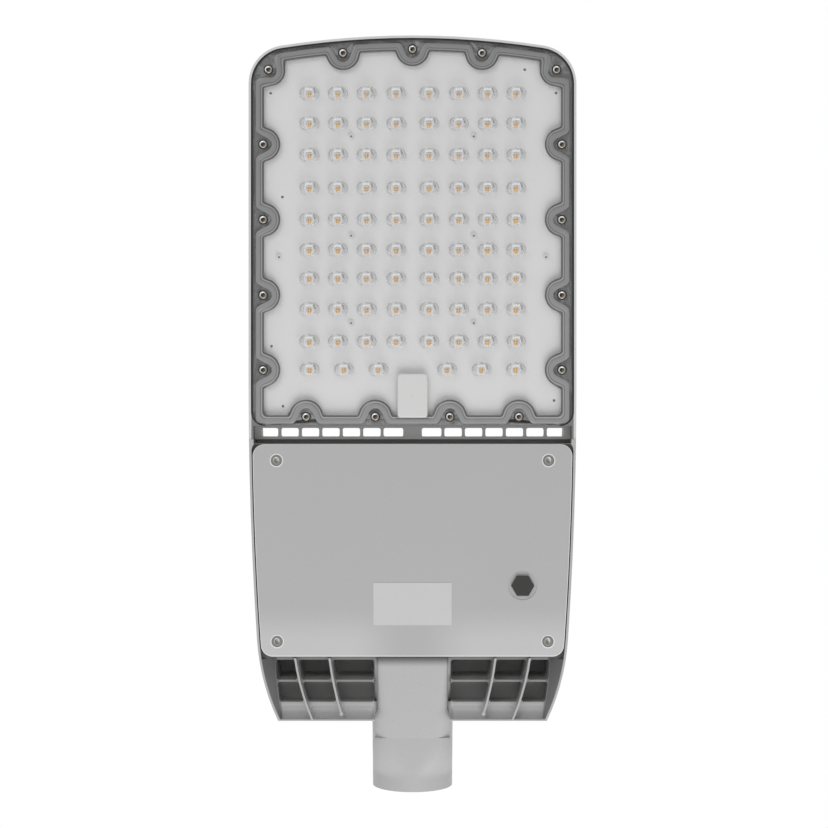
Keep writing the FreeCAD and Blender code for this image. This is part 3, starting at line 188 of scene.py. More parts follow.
def castingShade(tree, tone):
    # the casting's tone with painted shade in its hollows: faces that look down above the rim,
    # walls that face the middle, the slot before the cover, and the tail's cells by their depth;
    # painted shade on the tail's flanks, the corners beside the slots and the neck by the cover,
    # and a painted highlight on the rim's face
    look = {"rim": -43.5, "tray": 343.6, "slots": 331.3, "gapLow": 326.9, "tail": 126.5,
            "trayTone": grey(140), "slotTone": grey(168), "ledgeTone": grey(84, 0.02),
            "gapTone": grey(152, 0.03), "wallTone": grey(88, 0.02), "middle": 400.0,
            "cellTone": (grey(150, 0.01), grey(186, 0.01)), "ribTone": grey(142),
            "footTone": grey(196), "flankShade": (grey(92), grey(136)),
            "cornerShade": grey(122), "neckTone": grey(96), "rimHighlight": grey(214),
            "roofSlope": 1.42, "roofEdge": 68.0, "roofHigh": -31.0,
            "tailMiddle": (64.1, 158.0), "tailRound": 210.0}
    # where each shade starts and ends, in mm along, across and in height, with its softness
    reach = {"wallHigh": (-20.0, -24.0), "gapHigh": (-42.9, -20.5, 0.5),
             "gapAcross": (150.6, 150.2), "neckAcross": (34.0, 35.5),
             "cellAlong": (69.2, 127.5, 0.6), "cellAcross": (136.0, 134.0),
             "cellHigh": (-35.6, -22.0), "cellFade": (100.0, 108.0),
             "ribHigh": (-43.8, -37.0), "ribFade": (78.0, 90.0),
             "flankAlong": (69.5, 127.5, 0.5), "flankAcross": (118.0, 121.0),
             "flankHigh": (-33.0, -36.0), "flankLine": (0.09, 114.9),
             "flankFade": (124.0, 72.0), "cornerAlong": (331.2, 358.0, 0.3),
             "cornerAcross": (133.0, 150.7, 0.3), "cornerHigh": (-43.2, -43.6),
             "shadeAlong": (122.5, 134.0, 5.0), "shadeAcross": (34.5, 33.5),
             "shadeHigh": (-30.0, -34.0)}
    place = addNode(tree, "VectorMath", {0: addNode(tree, "TexCoord").outputs["Object"],
                                         "Scale": 1000.0}, operation="SCALE").outputs[0]
    at = addNode(tree, "SeparateXYZ", {0: place}).outputs
    facing = addNode(tree, "NewGeometry").outputs["True Normal"]
    upward = addNode(tree, "SeparateXYZ", {0: facing}).outputs["Z"]
    down = spread(tree, upward, -0.5, -0.9)
    fromMiddle = addNode(tree, "VectorMath", {0: place, 1: (0.0, look["middle"], 0.0)},
                         operation="SUBTRACT").outputs[0]
    level = addNode(tree, "VectorMath", {0: fromMiddle, 1: (1.0, 1.0, 0.0)},
                    operation="MULTIPLY").outputs[0]
    outward = addNode(tree, "VectorMath", {0: level}, operation="NORMALIZE").outputs[0]
    facingOut = addNode(tree, "VectorMath", {0: facing, 1: outward},
                        operation="DOT_PRODUCT").outputs["Value"]
    above = spread(tree, at["Z"], look["rim"], look["rim"] + 0.8)
    ahead = spread(tree, at["Y"], look["tail"] - 1, look["tail"])
    across = calc(tree, "ABSOLUTE", at["X"])
    floor = blend(tree, spread(tree, at["Y"], look["slots"] - 0.1, look["slots"]),
                  look["ledgeTone"], look["slotTone"])
    floor = blend(tree, spread(tree, at["Y"], look["tray"] - 0.1, look["tray"]), floor,
                  look["trayTone"])
    hollow = calc(tree, "MULTIPLY", above, ahead)
    # painted highlight: the rim's face that looks down, on the plate's side of the slots, is paler
    rim = calc(tree, "MULTIPLY", spread(tree, at["Z"], look["rim"], look["rim"] - 0.3),
               spread(tree, at["Y"], look["slots"], look["slots"] + 2))
    tone = blend(tree, calc(tree, "MULTIPLY", rim, down), tone, look["rimHighlight"])
    tone = blend(tree, calc(tree, "MULTIPLY", hollow, down), tone, floor)
    inner = calc(tree, "MULTIPLY", hollow, spread(tree, facingOut, -0.15, -0.5))
    inner = calc(tree, "MULTIPLY", inner, spread(tree, at["Z"], *reach["wallHigh"]))
    tone = blend(tree, inner, tone, look["wallTone"])
    inGap = calc(tree, "MULTIPLY", between(tree, at["Y"], look["gapLow"], look["slots"], 0.15),
                 between(tree, at["Z"], *reach["gapHigh"]))
    inGap = calc(tree, "MULTIPLY", inGap, spread(tree, across, *reach["gapAcross"]))
    tone = blend(tree, inGap, tone, look["gapTone"])
    # cells: below the falling roof and inside the sloping walls
    roof = calc(tree, "MULTIPLY_ADD", calc(tree, "SUBTRACT", at["Y"], look["roofEdge"]),
                look["roofSlope"], look["roofHigh"] - 2.0)
    below = spread(tree, calc(tree, "SUBTRACT", roof, at["Z"]), 0.0, 0.8)
    besideNeck = calc(tree, "SUBTRACT", across, spread(tree, at["Y"], 80.0, 76.0, 0.0, 4.0))
    inTail = calc(tree, "MULTIPLY", spread(tree, besideNeck, *reach["neckAcross"]),
                  between(tree, at["Y"], *reach["cellAlong"]))
    inTail = calc(tree, "MULTIPLY", inTail, below)
    inTail = calc(tree, "MULTIPLY", inTail, spread(tree, upward, 0.3, 0.15))
    inTail = calc(tree, "MULTIPLY", inTail, spread(tree, across, *reach["cellAcross"]))
    # the rib ends are painted paler near the tail's foot and darker further in, as painted light
    # and shade
    rib = blend(tree, spread(tree, at["Y"], *reach["ribFade"]), look["footTone"], look["ribTone"])
    onRib = calc(tree, "MULTIPLY", inTail, spread(tree, at["Z"], *reach["ribHigh"]))
    tone = blend(tree, onRib, tone, rib)
    cell = blend(tree, spread(tree, at["Y"], *reach["cellFade"]), *look["cellTone"])
    inCell = calc(tree, "MULTIPLY", inTail, spread(tree, at["Z"], *reach["cellHigh"]))
    tone = blend(tree, inCell, tone, cell)
    # painted shade on the flanks of the tail, stopping at a thin light edge along its round side
    fromRound = addNode(tree, "VectorMath", {
        0: addNode(tree, "CombineXYZ", {0: across, 1: at["Y"]}).outputs[0],
        1: (-look["tailMiddle"][0], look["tailMiddle"][1], 0.0)}, operation="DISTANCE")
    inside = spread(tree, fromRound.outputs["Value"], look["tailRound"] - 1.6,
                    look["tailRound"] - 2.6)
    flank = calc(tree, "MULTIPLY", inside, between(tree, at["Y"], *reach["flankAlong"]))
    flank = calc(tree, "MULTIPLY", flank, spread(tree, across, *reach["flankAcross"]))
    flank = calc(tree, "MULTIPLY", flank, spread(tree, at["Z"], *reach["flankHigh"]))
    slope = calc(tree, "MULTIPLY_ADD", at["Y"], *reach["flankLine"])
    flank = calc(tree, "MULTIPLY", flank, spread(tree, calc(tree, "SUBTRACT", across, slope),
                                                 0.0, 2.0))
    side = blend(tree, spread(tree, at["Y"], *reach["flankFade"]), *look["flankShade"])
    tone = blend(tree, flank, tone, side)
    # painted shade on the rim-level corners beside the slots, and painted shade of the cover's
    # edge on the neck
    corner = calc(tree, "MULTIPLY", between(tree, at["Y"], *reach["cornerAlong"]),
                  between(tree, across, *reach["cornerAcross"]))
    corner = calc(tree, "MULTIPLY", corner, spread(tree, at["Z"], *reach["cornerHigh"]))
    tone = blend(tree, calc(tree, "MULTIPLY", corner, down), tone, look["cornerShade"])
    neck = calc(tree, "MULTIPLY", spread(tree, across, *reach["shadeAcross"]),
                between(tree, at["Y"], *reach["shadeAlong"]))
    neck = calc(tree, "MULTIPLY", neck, spread(tree, at["Z"], *reach["shadeHigh"]))
    return blend(tree, neck, tone, look["neckTone"])


def castingPaint():
    look = {"tone": grey(184), "dust": (0.33, 0.31, 0.28, 1)}
    material, tree, shader = newMaterial("castingPaint")
    coat = useGroup(tree, powderCoat, {"Colour": castingShade(tree, look["tone"]),
                                       "Peel Size": 620.0, "Cloud": 0.07, "Specks": 0.15})
    dust = useGroup(tree, settledDust, {"Colour": coat["Colour"], "Dust Colour": look["dust"],
                                        "Amount": 0.2})
    rough = calc(tree, "MULTIPLY_ADD", dust["Mask"], 0.5, coat["Roughness"])
    feed(tree, shader, Base_Color=dust["Colour"], Roughness=rough,
         Normal=bumped(tree, coat["Height"], 0.35, 0.0004))
    return material


def coverPaint():
    # painted light: the cover is painted paler towards its low end, away from its middle line,
    # and its rounded-over edge is painted paler as a highlight
    look = {"tone": grey(183), "low": grey(199), "edge": grey(238), "lowerLightAlong": (0.178, 0.14),
            "lowerLightAcross": (0.005, 0.06), "edgeHighlightFrom": (-0.985, -0.85), "edgeHighlightTo": (0.1, -0.2)}
    material, tree, shader = newMaterial("coverPaint")
    at = addNode(tree, "SeparateXYZ", {0: addNode(tree, "TexCoord").outputs["Object"]}).outputs
    # painted light: paler towards the cover's low end
    low = calc(tree, "MULTIPLY", spread(tree, at["Y"], *look["lowerLightAlong"]),
               spread(tree, calc(tree, "ABSOLUTE", at["X"]), *look["lowerLightAcross"]))
    facing = addNode(tree, "SeparateXYZ", {0: addNode(tree, "NewGeometry").outputs["Normal"]})
    # painted highlight on the rounded edge, where the face turns away from looking down
    edge = calc(tree, "MULTIPLY", spread(tree, facing.outputs["Z"], *look["edgeHighlightFrom"]),
                spread(tree, facing.outputs["Z"], *look["edgeHighlightTo"]))
    tone = blend(tree, low, look["tone"], look["low"])
    tone = blend(tree, edge, tone, look["edge"])
    coat = useGroup(tree, powderCoat, {"Colour": tone, "Peel Size": 900.0,
                                       "Cloud": 0.03, "Specks": 0.05})
    feed(tree, shader, Base_Color=coat["Colour"], Roughness=coat["Roughness"],
         Normal=bumped(tree, coat["Height"], 0.25, 0.0003))
    return material


def mouldedPart(name, tone, shine, grain=1500.0, uneven=0.1, relief=0.2):
    material, tree, shader = newMaterial(name)
    skin = useGroup(tree, mouldTexture, {"Colour": tone, "Grain Size": grain, "Shine": shine,
                                         "Uneven": uneven})
    feed(tree, shader, Base_Color=skin["Colour"], Roughness=skin["Roughness"],
         Normal=bumped(tree, skin["Height"], relief, 0.0002))
    return material


def brushedMetal(name, tone, rough):
    # turned and pickled metal
    material, tree, shader = newMaterial(name)
    place = addNode(tree, "TexCoord").outputs["Object"]
    streak = addNode(tree, "Mapping", {"Vector": place, "Scale": (1.0, 0.12, 1.0)})
    grain = noise(tree, streak.outputs[0], 2600.0, 2.0)
    stain = noise(tree, place, 300.0, 3.0)
    colour = blend(tree, spread(tree, stain, 0.35, 0.7), tone, tuple(0.8 * c for c in tone))
    feed(tree, shader, Base_Color=colour, Metallic=1.0, Normal=bumped(tree, grain, 0.3, 0.0001),
         Roughness=calc(tree, "MULTIPLY_ADD", grain, 0.2, rough))
    return material


def clearMoulding():
    # clear plastic plate: nearly all see-through, with the gloss of its skin
    material, tree, shader = newMaterial("clearMoulding")
    place = addNode(tree, "TexCoord").outputs["Object"]
    haze = noise(tree, place, 40.0, 4.0)
    feed(tree, shader, Base_Color=(0.82, 0.82, 0.82, 1), IOR=1.49,
         Roughness=calc(tree, "MULTIPLY_ADD", haze, 0.1, 0.04),
         Alpha=calc(tree, "MULTIPLY_ADD", haze, 0.04, 0.03))
    return material


clearPlastic = clearMoulding()
whitePlastic = mouldedPart("whitePlastic", grey(222, 0.01), 0.42)
blackPlastic = mouldedPart("blackPlastic", grey(54, 0.02), 0.5, 900.0, 0.2)
greySilicone = mouldedPart("greySilicone", grey(162), 0.6, 700.0, 0.15)
labelFilm = mouldedPart("labelFilm", grey(206), 0.35, 2500.0, 0.04, 0.08)
lampPackage = mouldedPart("lampPackage", grey(235), 0.3, 3000.0, 0.05)
boardMask = mouldedPart("boardMask", grey(229), 0.38, 400.0, 0.03, 0.05)
paleSteel = mouldedPart("paleSteel", grey(216), 0.5, 1500.0, 0.06)
steel = brushedMetal("stainlessSteel", (0.66, 0.64, 0.61, 1), 0.22)
aluminium = brushedMetal("plainAluminium", (0.75, 0.76, 0.77, 1), 0.34)
brass = brushedMetal("brassTag", (0.72, 0.55, 0.27, 1), 0.3)

nodeLooks = {
    "housing": castingPaint(), "driver_cover": coverPaint(), "lens_plate": clearPlastic,
    "lens_gasket": greySilicone, "cover_gasket": greySilicone, "vent_washer": greySilicone,
    "wire_grommet": greySilicone, "led_board": boardMask, "led_lamps": lampPackage,
    "board_plug": whitePlastic, "terminal_block": whitePlastic, "lens_screws": steel,
    "board_screws": paleSteel, "cover_screws": steel, "vent_plug": blackPlastic,
    "vent_nut": blackPlastic, "surge_protector": blackPlastic, "cable_gland": blackPlastic,
    "rating_plate": labelFilm, "led_driver": aluminium, "earth_tag": brass,
    "driver_screws": steel, "surge_screws": steel, "terminal_screws": steel,
    "earth_screw": steel, "clamp_bolts": steel}
for name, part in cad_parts.items():
    for slot in part.material_slots:
        slot.material = nodeLooks[name]
print("materials made:", len(bpy.data.materials))


def newPiece(name, points, faces, material, smooth=True, uv=None):
    # points in mm, faces as an array of quads or triangles, uv one pair per point
    mesh = bpy.data.meshes.new(name)
    mesh.from_pydata((points * mm).tolist(), [], faces.tolist())
    mesh.materials.append(material)
    if uv is not None:
        layer = mesh.uv_layers.new(name="flat")
        corner = np.empty(len(mesh.loops), dtype=np.int32)
        mesh.loops.foreach_get("vertex_index", corner)
        layer.data.foreach_set("uv", uv[corner].astype(np.float32).ravel())
    mesh.polygons.foreach_set("use_smooth", np.full(len(mesh.polygons), smooth))
    mesh.update()
    piece = bpy.data.objects.new(name, mesh)
    bpy.context.scene.collection.objects.link(piece)
    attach(piece, "root")
    return piece


uvSpan = 20.0  # mm that a small shape's own UV square stands for


def flatUv(x, y):
    # mm from the middle of a small shape as its UV
    return np.stack([x / uvSpan + 0.5, y / uvSpan + 0.5], -1).reshape(-1, 2)


def flatPlace(tree):
    # the same mm read back in a material, u to the right as seen from below
    uv = addNode(tree, "UVMap", uv_map="flat").outputs["UV"]
    place = addNode(tree, "SeparateXYZ", {0: uv}).outputs
    return (calc(tree, "MULTIPLY_ADD", place["X"], -uvSpan, uvSpan / 2),
            calc(tree, "MULTIPLY_ADD", place["Y"], uvSpan, -uvSpan / 2))


def flatLength(tree, u, v):
    squares = calc(tree, "ADD", calc(tree, "MULTIPLY", u, u), calc(tree, "MULTIPLY", v, v))
    return calc(tree, "SQRT", squares)


def gridFaces(rows, columns, closeRows=False, closeColumns=False):
    # quads between neighbours of a rows x columns grid of points
    r = np.arange(rows if closeRows else rows - 1)
    c = np.arange(columns if closeColumns else columns - 1)
    r, c = np.meshgrid(r, c, indexing="ij")
    rNext, cNext = (r + 1) % rows, (c + 1) % columns
    quads = [r * columns + c, rNext * columns + c, rNext * columns + cNext, r * columns + cNext]
    return np.stack(quads, axis=-1).reshape(-1, 4)


def repeated(points, faces, spots):
    # the same small mesh at each (x, y) spot
    spots = np.array(spots, dtype=float)
    moved = points[None, :, :] + np.concatenate([spots, np.zeros((len(spots), 1))], 1)[:, None, :]
    steps = (np.arange(len(spots)) * len(points))[:, None, None]
    return moved.reshape(-1, 3), (faces[None, :, :] + steps).reshape(-1, faces.shape[1])


plate = {"halfWidth": 153.3, "noseReach": 709.0, "crown": 800.0, "noseCorner": 36.0,
         "lowEdge": 353.7, "lowCorner": 5.0, "inset": 14.1, "scallop": 16.0, "face": -42.0,
         "screws": [(s * x, y) for s in (1, -1) for x, y in (
             (134.9, 677.4), (65.1, 693.0), (0.0, 696.6), (139.9, 607.4), (139.9, 536.9),
             (139.9, 466.3), (139.9, 396.2), (99.6, 352.4), (34.9, 352.4))]}


def lineRun(start, end, inward, count):
    t = np.linspace(0, 1, count, endpoint=False)[:, None]
    return np.array(start) * (1 - t) + np.array(end) * t, np.tile(inward, (count, 1))


def arcRun(centreX, centreY, radius, start, end, count):
    a = np.linspace(start, end, count, endpoint=False)
    out = np.stack([np.cos(a), np.sin(a)], 1)
    return np.array([centreX, centreY]) + radius * out, -out


def noseRuns(inset, low, perEdge):
    # the plate's two straight sides from a low end, its round corners and the nose, which is an
    # arc of the crown radius; each run is points and inward directions
    halfWide, corner = plate["halfWidth"] - inset, plate["noseCorner"] - inset
    crown, crownY = plate["crown"] - inset, plate["noseReach"] - plate["crown"]
    cornerX = halfWide - corner
    cornerY = crownY + math.sqrt((crown - corner) ** 2 - cornerX ** 2)
    tip = math.atan2(cornerX, cornerY - crownY)  # half the nose's angle
    half = math.pi / 2
    return [
        lineRun((halfWide, low), (halfWide, cornerY), (-1.0, 0.0), perEdge),
        arcRun(cornerX, cornerY, corner, 0, half - tip, 60),
        arcRun(0, crownY, crown, half - tip, half + tip, perEdge),
        arcRun(-cornerX, cornerY, corner, half + tip, math.pi, 60),
        lineRun((-halfWide, cornerY), (-halfWide, low), (1.0, 0.0), perEdge)]


def windowBase(inset, perEdge):
    # closed line inside the plate, with a straight foot between two small corners
    halfWide, low, corner = plate["halfWidth"] - inset, plate["lowEdge"], plate["lowCorner"]
    low += inset - plate["inset"]
    half = math.pi / 2
    runs = [lineRun((-halfWide + corner, low), (halfWide - corner, low), (0.0, 1.0), perEdge),
            arcRun(halfWide - corner, low + corner, corner, -half, 0, 12)]
    runs += noseRuns(inset, low + corner, perEdge)
    runs.append(arcRun(-halfWide + corner, low + corner, corner, math.pi, 3 * half, 12))
    return np.concatenate([r[0] for r in runs]), np.concatenate([r[1] for r in runs])


def windowEdge(outward):
    # the base line pushed inwards round each screw: the push at a point is where its inward
    # ray leaves the screw's circle, as the root of radius squared less the side distance squared
    points, inward = windowBase(plate["inset"] - outward, 420)
    radius = plate["scallop"] - outward
    push = np.zeros(len(points))
    for screw in plate["screws"]:
        gap = np.array(screw) - points
        along = (gap * inward).sum(1)
        side = gap[:, 0] * inward[:, 1] - gap[:, 1] * inward[:, 0]
        reach = along + np.sqrt(np.clip(radius ** 2 - side ** 2, 0, None))
        near = (np.abs(side) < radius) & (along < 2 * radius)
        push = np.maximum(push, np.where(near, reach, 0))
    # a Hann window rounds the corners, more so for lines further out
    reach = 2 + int(0.9 * max(outward, 0.0))
    soft = np.hanning(2 * reach + 3)[1:-1]
    push = np.convolve(np.concatenate([push[-reach:], push, push[:reach]]), soft / soft.sum(),
                       mode="valid")
    return points + inward * push[:, None]


def flangeRidge():
    # profile (offset outwards, height below the plate) along the scalloped line of the window:
    # a step, a lip, a groove and a broad flat bead; their tones are painted light and shade, the
    # step dark and the groove darker as shade, the lip pale as a highlight
    profile = [(0.0, -0.5), (0.0, 0.03), (0.25, 0.2), (1.35, 0.2), (1.6, 0.42), (2.55, 0.42),
               (2.8, 0.1), (3.15, 0.1), (3.4, 0.3), (7.2, 0.3), (7.7, 0.03), (7.7, -0.5)]
    look = {"step": grey(98), "bands": [(0.14, 0.16, grey(160)), (0.26, 0.28, grey(108)),
                                        (0.32, 0.34, grey(146))], "paintedLightFade": (0.35, 0.7, 1.06, 0.86)}
    rings = []
    for out, drop in profile:
        line = windowEdge(out)
        rings.append(np.column_stack([line, np.full(len(line), plate["face"] - drop)]))
    points = np.stack(rings, 1)
    rows, columns = points.shape[:2]
    uv = np.stack(np.broadcast_arrays(np.array([p[0] for p in profile])[None, :] / 10.0,
                                      np.arange(rows)[:, None] / rows), -1)
    material, tree, shader = newMaterial("flangeLightAndShade")
    place = addNode(tree, "UVMap", uv_map="flat").outputs["UV"]
    out = addNode(tree, "SeparateXYZ", {0: place}).outputs["X"]
    along = addNode(tree, "SeparateXYZ", {0: addNode(tree, "TexCoord").outputs["Object"]})
    colour = look["step"]
    for low, high, tone in look["bands"]:
        colour = blend(tree, spread(tree, out, low, high), colour, tone)
    # painted light: the whole ridge is painted darker towards the nose and paler towards the low
    # end
    shade = spread(tree, along.outputs["Y"], *look["paintedLightFade"])
    colour = addNode(tree, "VectorMath", {0: colour, "Scale": shade}, operation="SCALE").outputs[0]
    skin = useGroup(tree, mouldTexture, {"Colour": colour, "Grain Size": 900.0, "Shine": 0.3,
                                         "Uneven": 0.08})
    feed(tree, shader, Base_Color=skin["Colour"], Roughness=skin["Roughness"],
         Normal=bumped(tree, skin["Height"], 0.1, 0.0002))
    return newPiece("flangeRidge", points.reshape(-1, 3),
                    gridFaces(rows, columns, True, True), material,
                    uv=uv.reshape(-1, 2))


def rimSeal():
    # dark bead set in the gap between the casting's rim and the plate as painted shade of the gap:
    # a half round profile, height h sqrt(1 - t^2) for t from -1 to 1, along the sides and the nose
    bead = {"from": 2.5, "to": 4.0, "high": 0.3, "lowEnd": 344.9}
    t = np.linspace(-1, 1, 7)
    drops = np.concatenate([bead["high"] * np.sqrt(1 - t ** 2), [-0.6, -0.6]])
    insets = np.concatenate([(bead["from"] + bead["to"]) / 2 + t * (bead["to"] - bead["from"]) / 2,
                             [bead["to"], bead["from"]]])
    rings = []
    for inset, drop in zip(insets, drops):
        line = np.concatenate([r[0] for r in noseRuns(inset, bead["lowEnd"], 60)])
        rings.append(np.column_stack([line, np.full(len(line), plate["face"] - drop)]))
    points = np.stack(rings, 1)
    rows, columns = points.shape[:2]
    faces = gridFaces(rows, columns, False, True)
    return newPiece("rimSeal", points.reshape(-1, 3), faces,
                    mouldedPart("rimGapShadow", grey(56, 0.02), 0.55, 800.0, 0.2))


rimSeal()
flangeRidge()
print("flange ridge made")

rows = (655.0, 626.8, 597.3, 566.4, 536.8, 508.5, 481.7, 452.8, 422.8)
spots = [(s * x, y) for y in rows for x in (15.4, 43.2, 70.1, 96.8) for s in (1, -1)]
spots += [(s * x, 396.4) for x in (32.2, 64.4, 96.5) for s in (1, -1)]
lens = {"lobe": 6.2, "lobeApart": 3.4, "foot": -41.0, "high": 5.5, "shift": 0.5,
        "rings": 16, "around": 72, "waist": 0.16, "waistWide": 1.7, "waistLong": 6.0,
        "peak": 1.5, "peakWide": 0.14}
# crescents: strength, side of the lobe, radius, reach, direction in degrees and the two cosines
# between which they fade in; the rest: strength, reach and where they start and end
glints = {"dark": [(0.6, -1, 4.7, 1.3, 152, 0.25, 0.85), (0.95, 0, 5.7, 1.3, 20, 0.86, 0.96),
                   (0.45, 1, 5.4, 1.3, 55, 0.4, 0.85), (0.25, 0, 5.3, 0.9, 160, 0.9, 0.98),
                   (0.3, 1, 4.2, 1.1, 320, 0.5, 0.95)],
          "light": [(1.0, -1, 5.6, 1.1, 236, 0.72, 0.95), (0.5, 1, 5.7, 1.0, 318, 0.45, 0.9),
                    (0.4, 1, 6.0, 0.8, 0, 0.5, 0.9)],
          "spike": (0.95, 1.5, (3.9, 7.2, 0.7)), "flash": (0.95, 0.9, (0.3, 3.6, 0.6)),
          "flashLine": (0.8, 6.6), "fan": (0.8, (4.4, 2.2), (2.3, 4.6, 0.8)),
          "halo": (0.4, 3.9, 1.2), "lamp": 0.8}


def nearLine(tree, value, centre, reach):
    # 1 at the centre value, 0 from the given reach on both sides
    gap = calc(tree, "ABSOLUTE", calc(tree, "SUBTRACT", value, centre))
    return spread(tree, gap, reach, 0.25 * reach)


def lensGlints(tree, u, v):
    # shade and shine of one lens by its own coordinates in mm, u to the right as seen from
    # below: crescents are rings round a lobe's middle, limited by the cosine to a direction
    def ring(side, radius, reach, turn, low, high):
        du = calc(tree, "SUBTRACT", u, side * lens["lobeApart"])
        away = calc(tree, "ADD", calc(tree, "MULTIPLY", du, math.cos(math.radians(turn))),
                    calc(tree, "MULTIPLY", v, math.sin(math.radians(turn))))
        far = flatLength(tree, du, v)
        away = calc(tree, "DIVIDE", away, calc(tree, "MAXIMUM", far, 0.01))
        return calc(tree, "MULTIPLY", nearLine(tree, far, radius, reach),
                    spread(tree, away, low, high))

    def total(parts):
        value = 0.0
        for strength, mask in parts:
            value = calc(tree, "MULTIPLY_ADD", mask, strength, value)
        return value

    strength, reach, along = glints["spike"]
    spike = (strength, calc(tree, "MULTIPLY", nearLine(tree, u, 0.0, reach),
                            between(tree, v, *along)))
    strength, reach, along = glints["flash"]
    slope = calc(tree, "MULTIPLY_ADD", u, glints["flashLine"][0], v)
    flash = (strength, calc(tree, "MULTIPLY", nearLine(tree, slope, glints["flashLine"][1], reach),
                            between(tree, u, *along)))
    strength, reach, along = glints["fan"]
    fan = (strength, calc(tree, "MULTIPLY", spread(tree, calc(tree, "ABSOLUTE", u), *reach),
                          between(tree, v, *along)))
    strength, radius, reach = glints["halo"]
    fromLamp = flatLength(tree, u, calc(tree, "ADD", v, glints["lamp"]))
    halo = (strength, nearLine(tree, fromLamp, radius, reach))
    dark = total([(row[0], ring(*row[1:])) for row in glints["dark"]])
    light = total([(row[0], ring(*row[1:])) for row in glints["light"]]
                  + [spike, flash, fan, halo])
    return dark, light


def lensBumps():
    # polar grid: the outline is that of two circles side by side, r = c|cos a| +
    # sqrt(R^2 - c^2 sin^2 a); the height is a flat-topped dome, (1 - s^3)^0.5, that dips
    # across the middle, where the two halves meet
    s = np.linspace(0, 1, lens["rings"])[:, None]
    a = np.linspace(0, 2 * np.pi, lens["around"], endpoint=False)[None, :]
    outline = lens["lobeApart"] * np.abs(np.cos(a)) + np.sqrt(
        lens["lobe"] ** 2 - (lens["lobeApart"] * np.sin(a)) ** 2)
    outline = outline + lens["peak"] * np.exp(-((a - np.pi / 2) / lens["peakWide"]) ** 2)
    x, y = s * outline * np.cos(a), s * outline * np.sin(a)
    dip = 1 - lens["waist"] * np.exp(-(x / lens["waistWide"]) ** 2) * np.clip(
        y / lens["waistLong"], 0, 1)
    z = lens["foot"] - lens["high"] * np.sqrt(1 - s ** 3) * dip
    points = np.stack([x, y + lens["shift"], np.broadcast_to(z, x.shape)], -1).reshape(-1, 3)
    faces = gridFaces(lens["rings"], lens["around"], closeColumns=True)
    uv = flatUv(x, y)
    allPoints, allFaces = repeated(points, faces, spots)
    material, tree, shader = newMaterial("lensClear")
    u, v = flatPlace(tree)
    dark, light = lensGlints(tree, u, v)
    share = calc(tree, "DIVIDE", dark, calc(tree, "ADD", calc(tree, "ADD", dark, light), 0.05))
    cover = calc(tree, "MAXIMUM", calc(tree, "MULTIPLY", dark, 0.7), light)
    cover = calc(tree, "MULTIPLY_ADD", cover, 0.9, 0.02)
    # the pale glints lie flat to the light, as the mirror of a lens does
    own = addNode(tree, "NewGeometry").outputs["Normal"]
    turned = calc(tree, "MINIMUM", calc(tree, "ADD", light, 0.3), 1.0)
    flat = addNode(tree, "Mix", {0: turned, 4: own, 5: (0.0, 0.0, -1.0)},
                   data_type="VECTOR").outputs[1]
    feed(tree, shader, Base_Color=blend(tree, share, (1.0, 1.0, 1.0, 1), grey(118)),
         Roughness=0.12, IOR=1.49, Alpha=calc(tree, "MINIMUM", cover, 0.9), Normal=flat)
    return newPiece("lensBumps", allPoints, allFaces, material,
                    uv=np.tile(uv, (len(spots), 1)))


def lampChips():
    # four flat blocks in a square on each lamp; the top is a grid with its rim bent down
    chipSize = {"half": (0.8, 1.0), "apart": (1.08, 1.28), "top": -37.45, "foot": -37.2,
                "shift": -0.8, "tones": ((0.86, 0.34, 0.03, 1), (0.88, 0.52, 0.05, 1))}
    t = np.array([-1.0, -1.0, 1.0, 1.0])
    x, y = np.meshgrid(t, t, indexing="ij")
    rim = (np.arange(4)[:, None] % 3 == 0) | (np.arange(4)[None, :] % 3 == 0)
    z = np.where(rim, chipSize["foot"], chipSize["top"])
    one = np.stack([x * chipSize["half"][0], y * chipSize["half"][1] + chipSize["shift"], z],
                   -1).reshape(-1, 3)
    faces = gridFaces(4, 4)
    across, along = chipSize["apart"]
    corners = [(i * across, j * along) for i in (1, -1) for j in (1, -1)]
    chip, chipFaces = repeated(one, faces, corners)
    allPoints, allFaces = repeated(chip, chipFaces, spots)
    material, tree, shader = newMaterial("phosphor")
    place = addNode(tree, "TexCoord").outputs["Object"]
    cell = noise(tree, place, 350.0, 2.0)
    colour = blend(tree, spread(tree, cell, 0.35, 0.65), *chipSize["tones"])
    feed(tree, shader, Base_Color=colour, Roughness=calc(tree, "MULTIPLY_ADD", cell, 0.2, 0.4),
         Normal=bumped(tree, noise(tree, place, 3000.0), 0.2, 0.0002))
    return newPiece("lampChips", allPoints, allFaces, material, smooth=False)


lensBumps()
lampChips()
print("lenses and lamps made:", len(spots))

boardDots = {"dark": [(133.2, 656.3), (-134.8, 656.5), (122.2, 558.8), (132.4, 418.7)],
             "brown": [(-105.4, 678.4), (121.7, 362.3), (-132.9, 367.7)],
             "screws": [(s * x, y) for x, y in ((57.5, 615.5), (57.5, 522.3), (57.5, 440.3),
                                            (125.3, 502.2)) for s in (1, -1)]}


def boardMarks(name, where, tone, radius=1.3, face=-36.62):
    # small domed discs: rings of radius r s at a height that falls off as s squared
    s = np.array([0.02, 0.5, 0.8, 1.0])[:, None]
    a = np.linspace(0, 2 * np.pi, 20, endpoint=False)[None, :]
    x, y = radius * s * np.cos(a), radius * s * np.sin(a)
    z = np.broadcast_to(face - 0.25 * (1 - s ** 2), x.shape)
    points = np.stack([x, y, z], -1).reshape(-1, 3)
    allPoints, allFaces = repeated(points, gridFaces(4, 20, closeColumns=True), where)
    material = mouldedPart(name + "Tone", tone, 0.4, 1200.0, 0.3)
    return newPiece(name, allPoints, allFaces, material)


boardMarks("boardVias", boardDots["dark"], grey(90))
boardMarks("boardPads", boardDots["brown"], (0.16, 0.08, 0.05, 1))
boardMarks("boardScrewKeys", boardDots["screws"], grey(112), 1.0, -38.15)
print("board marks made")


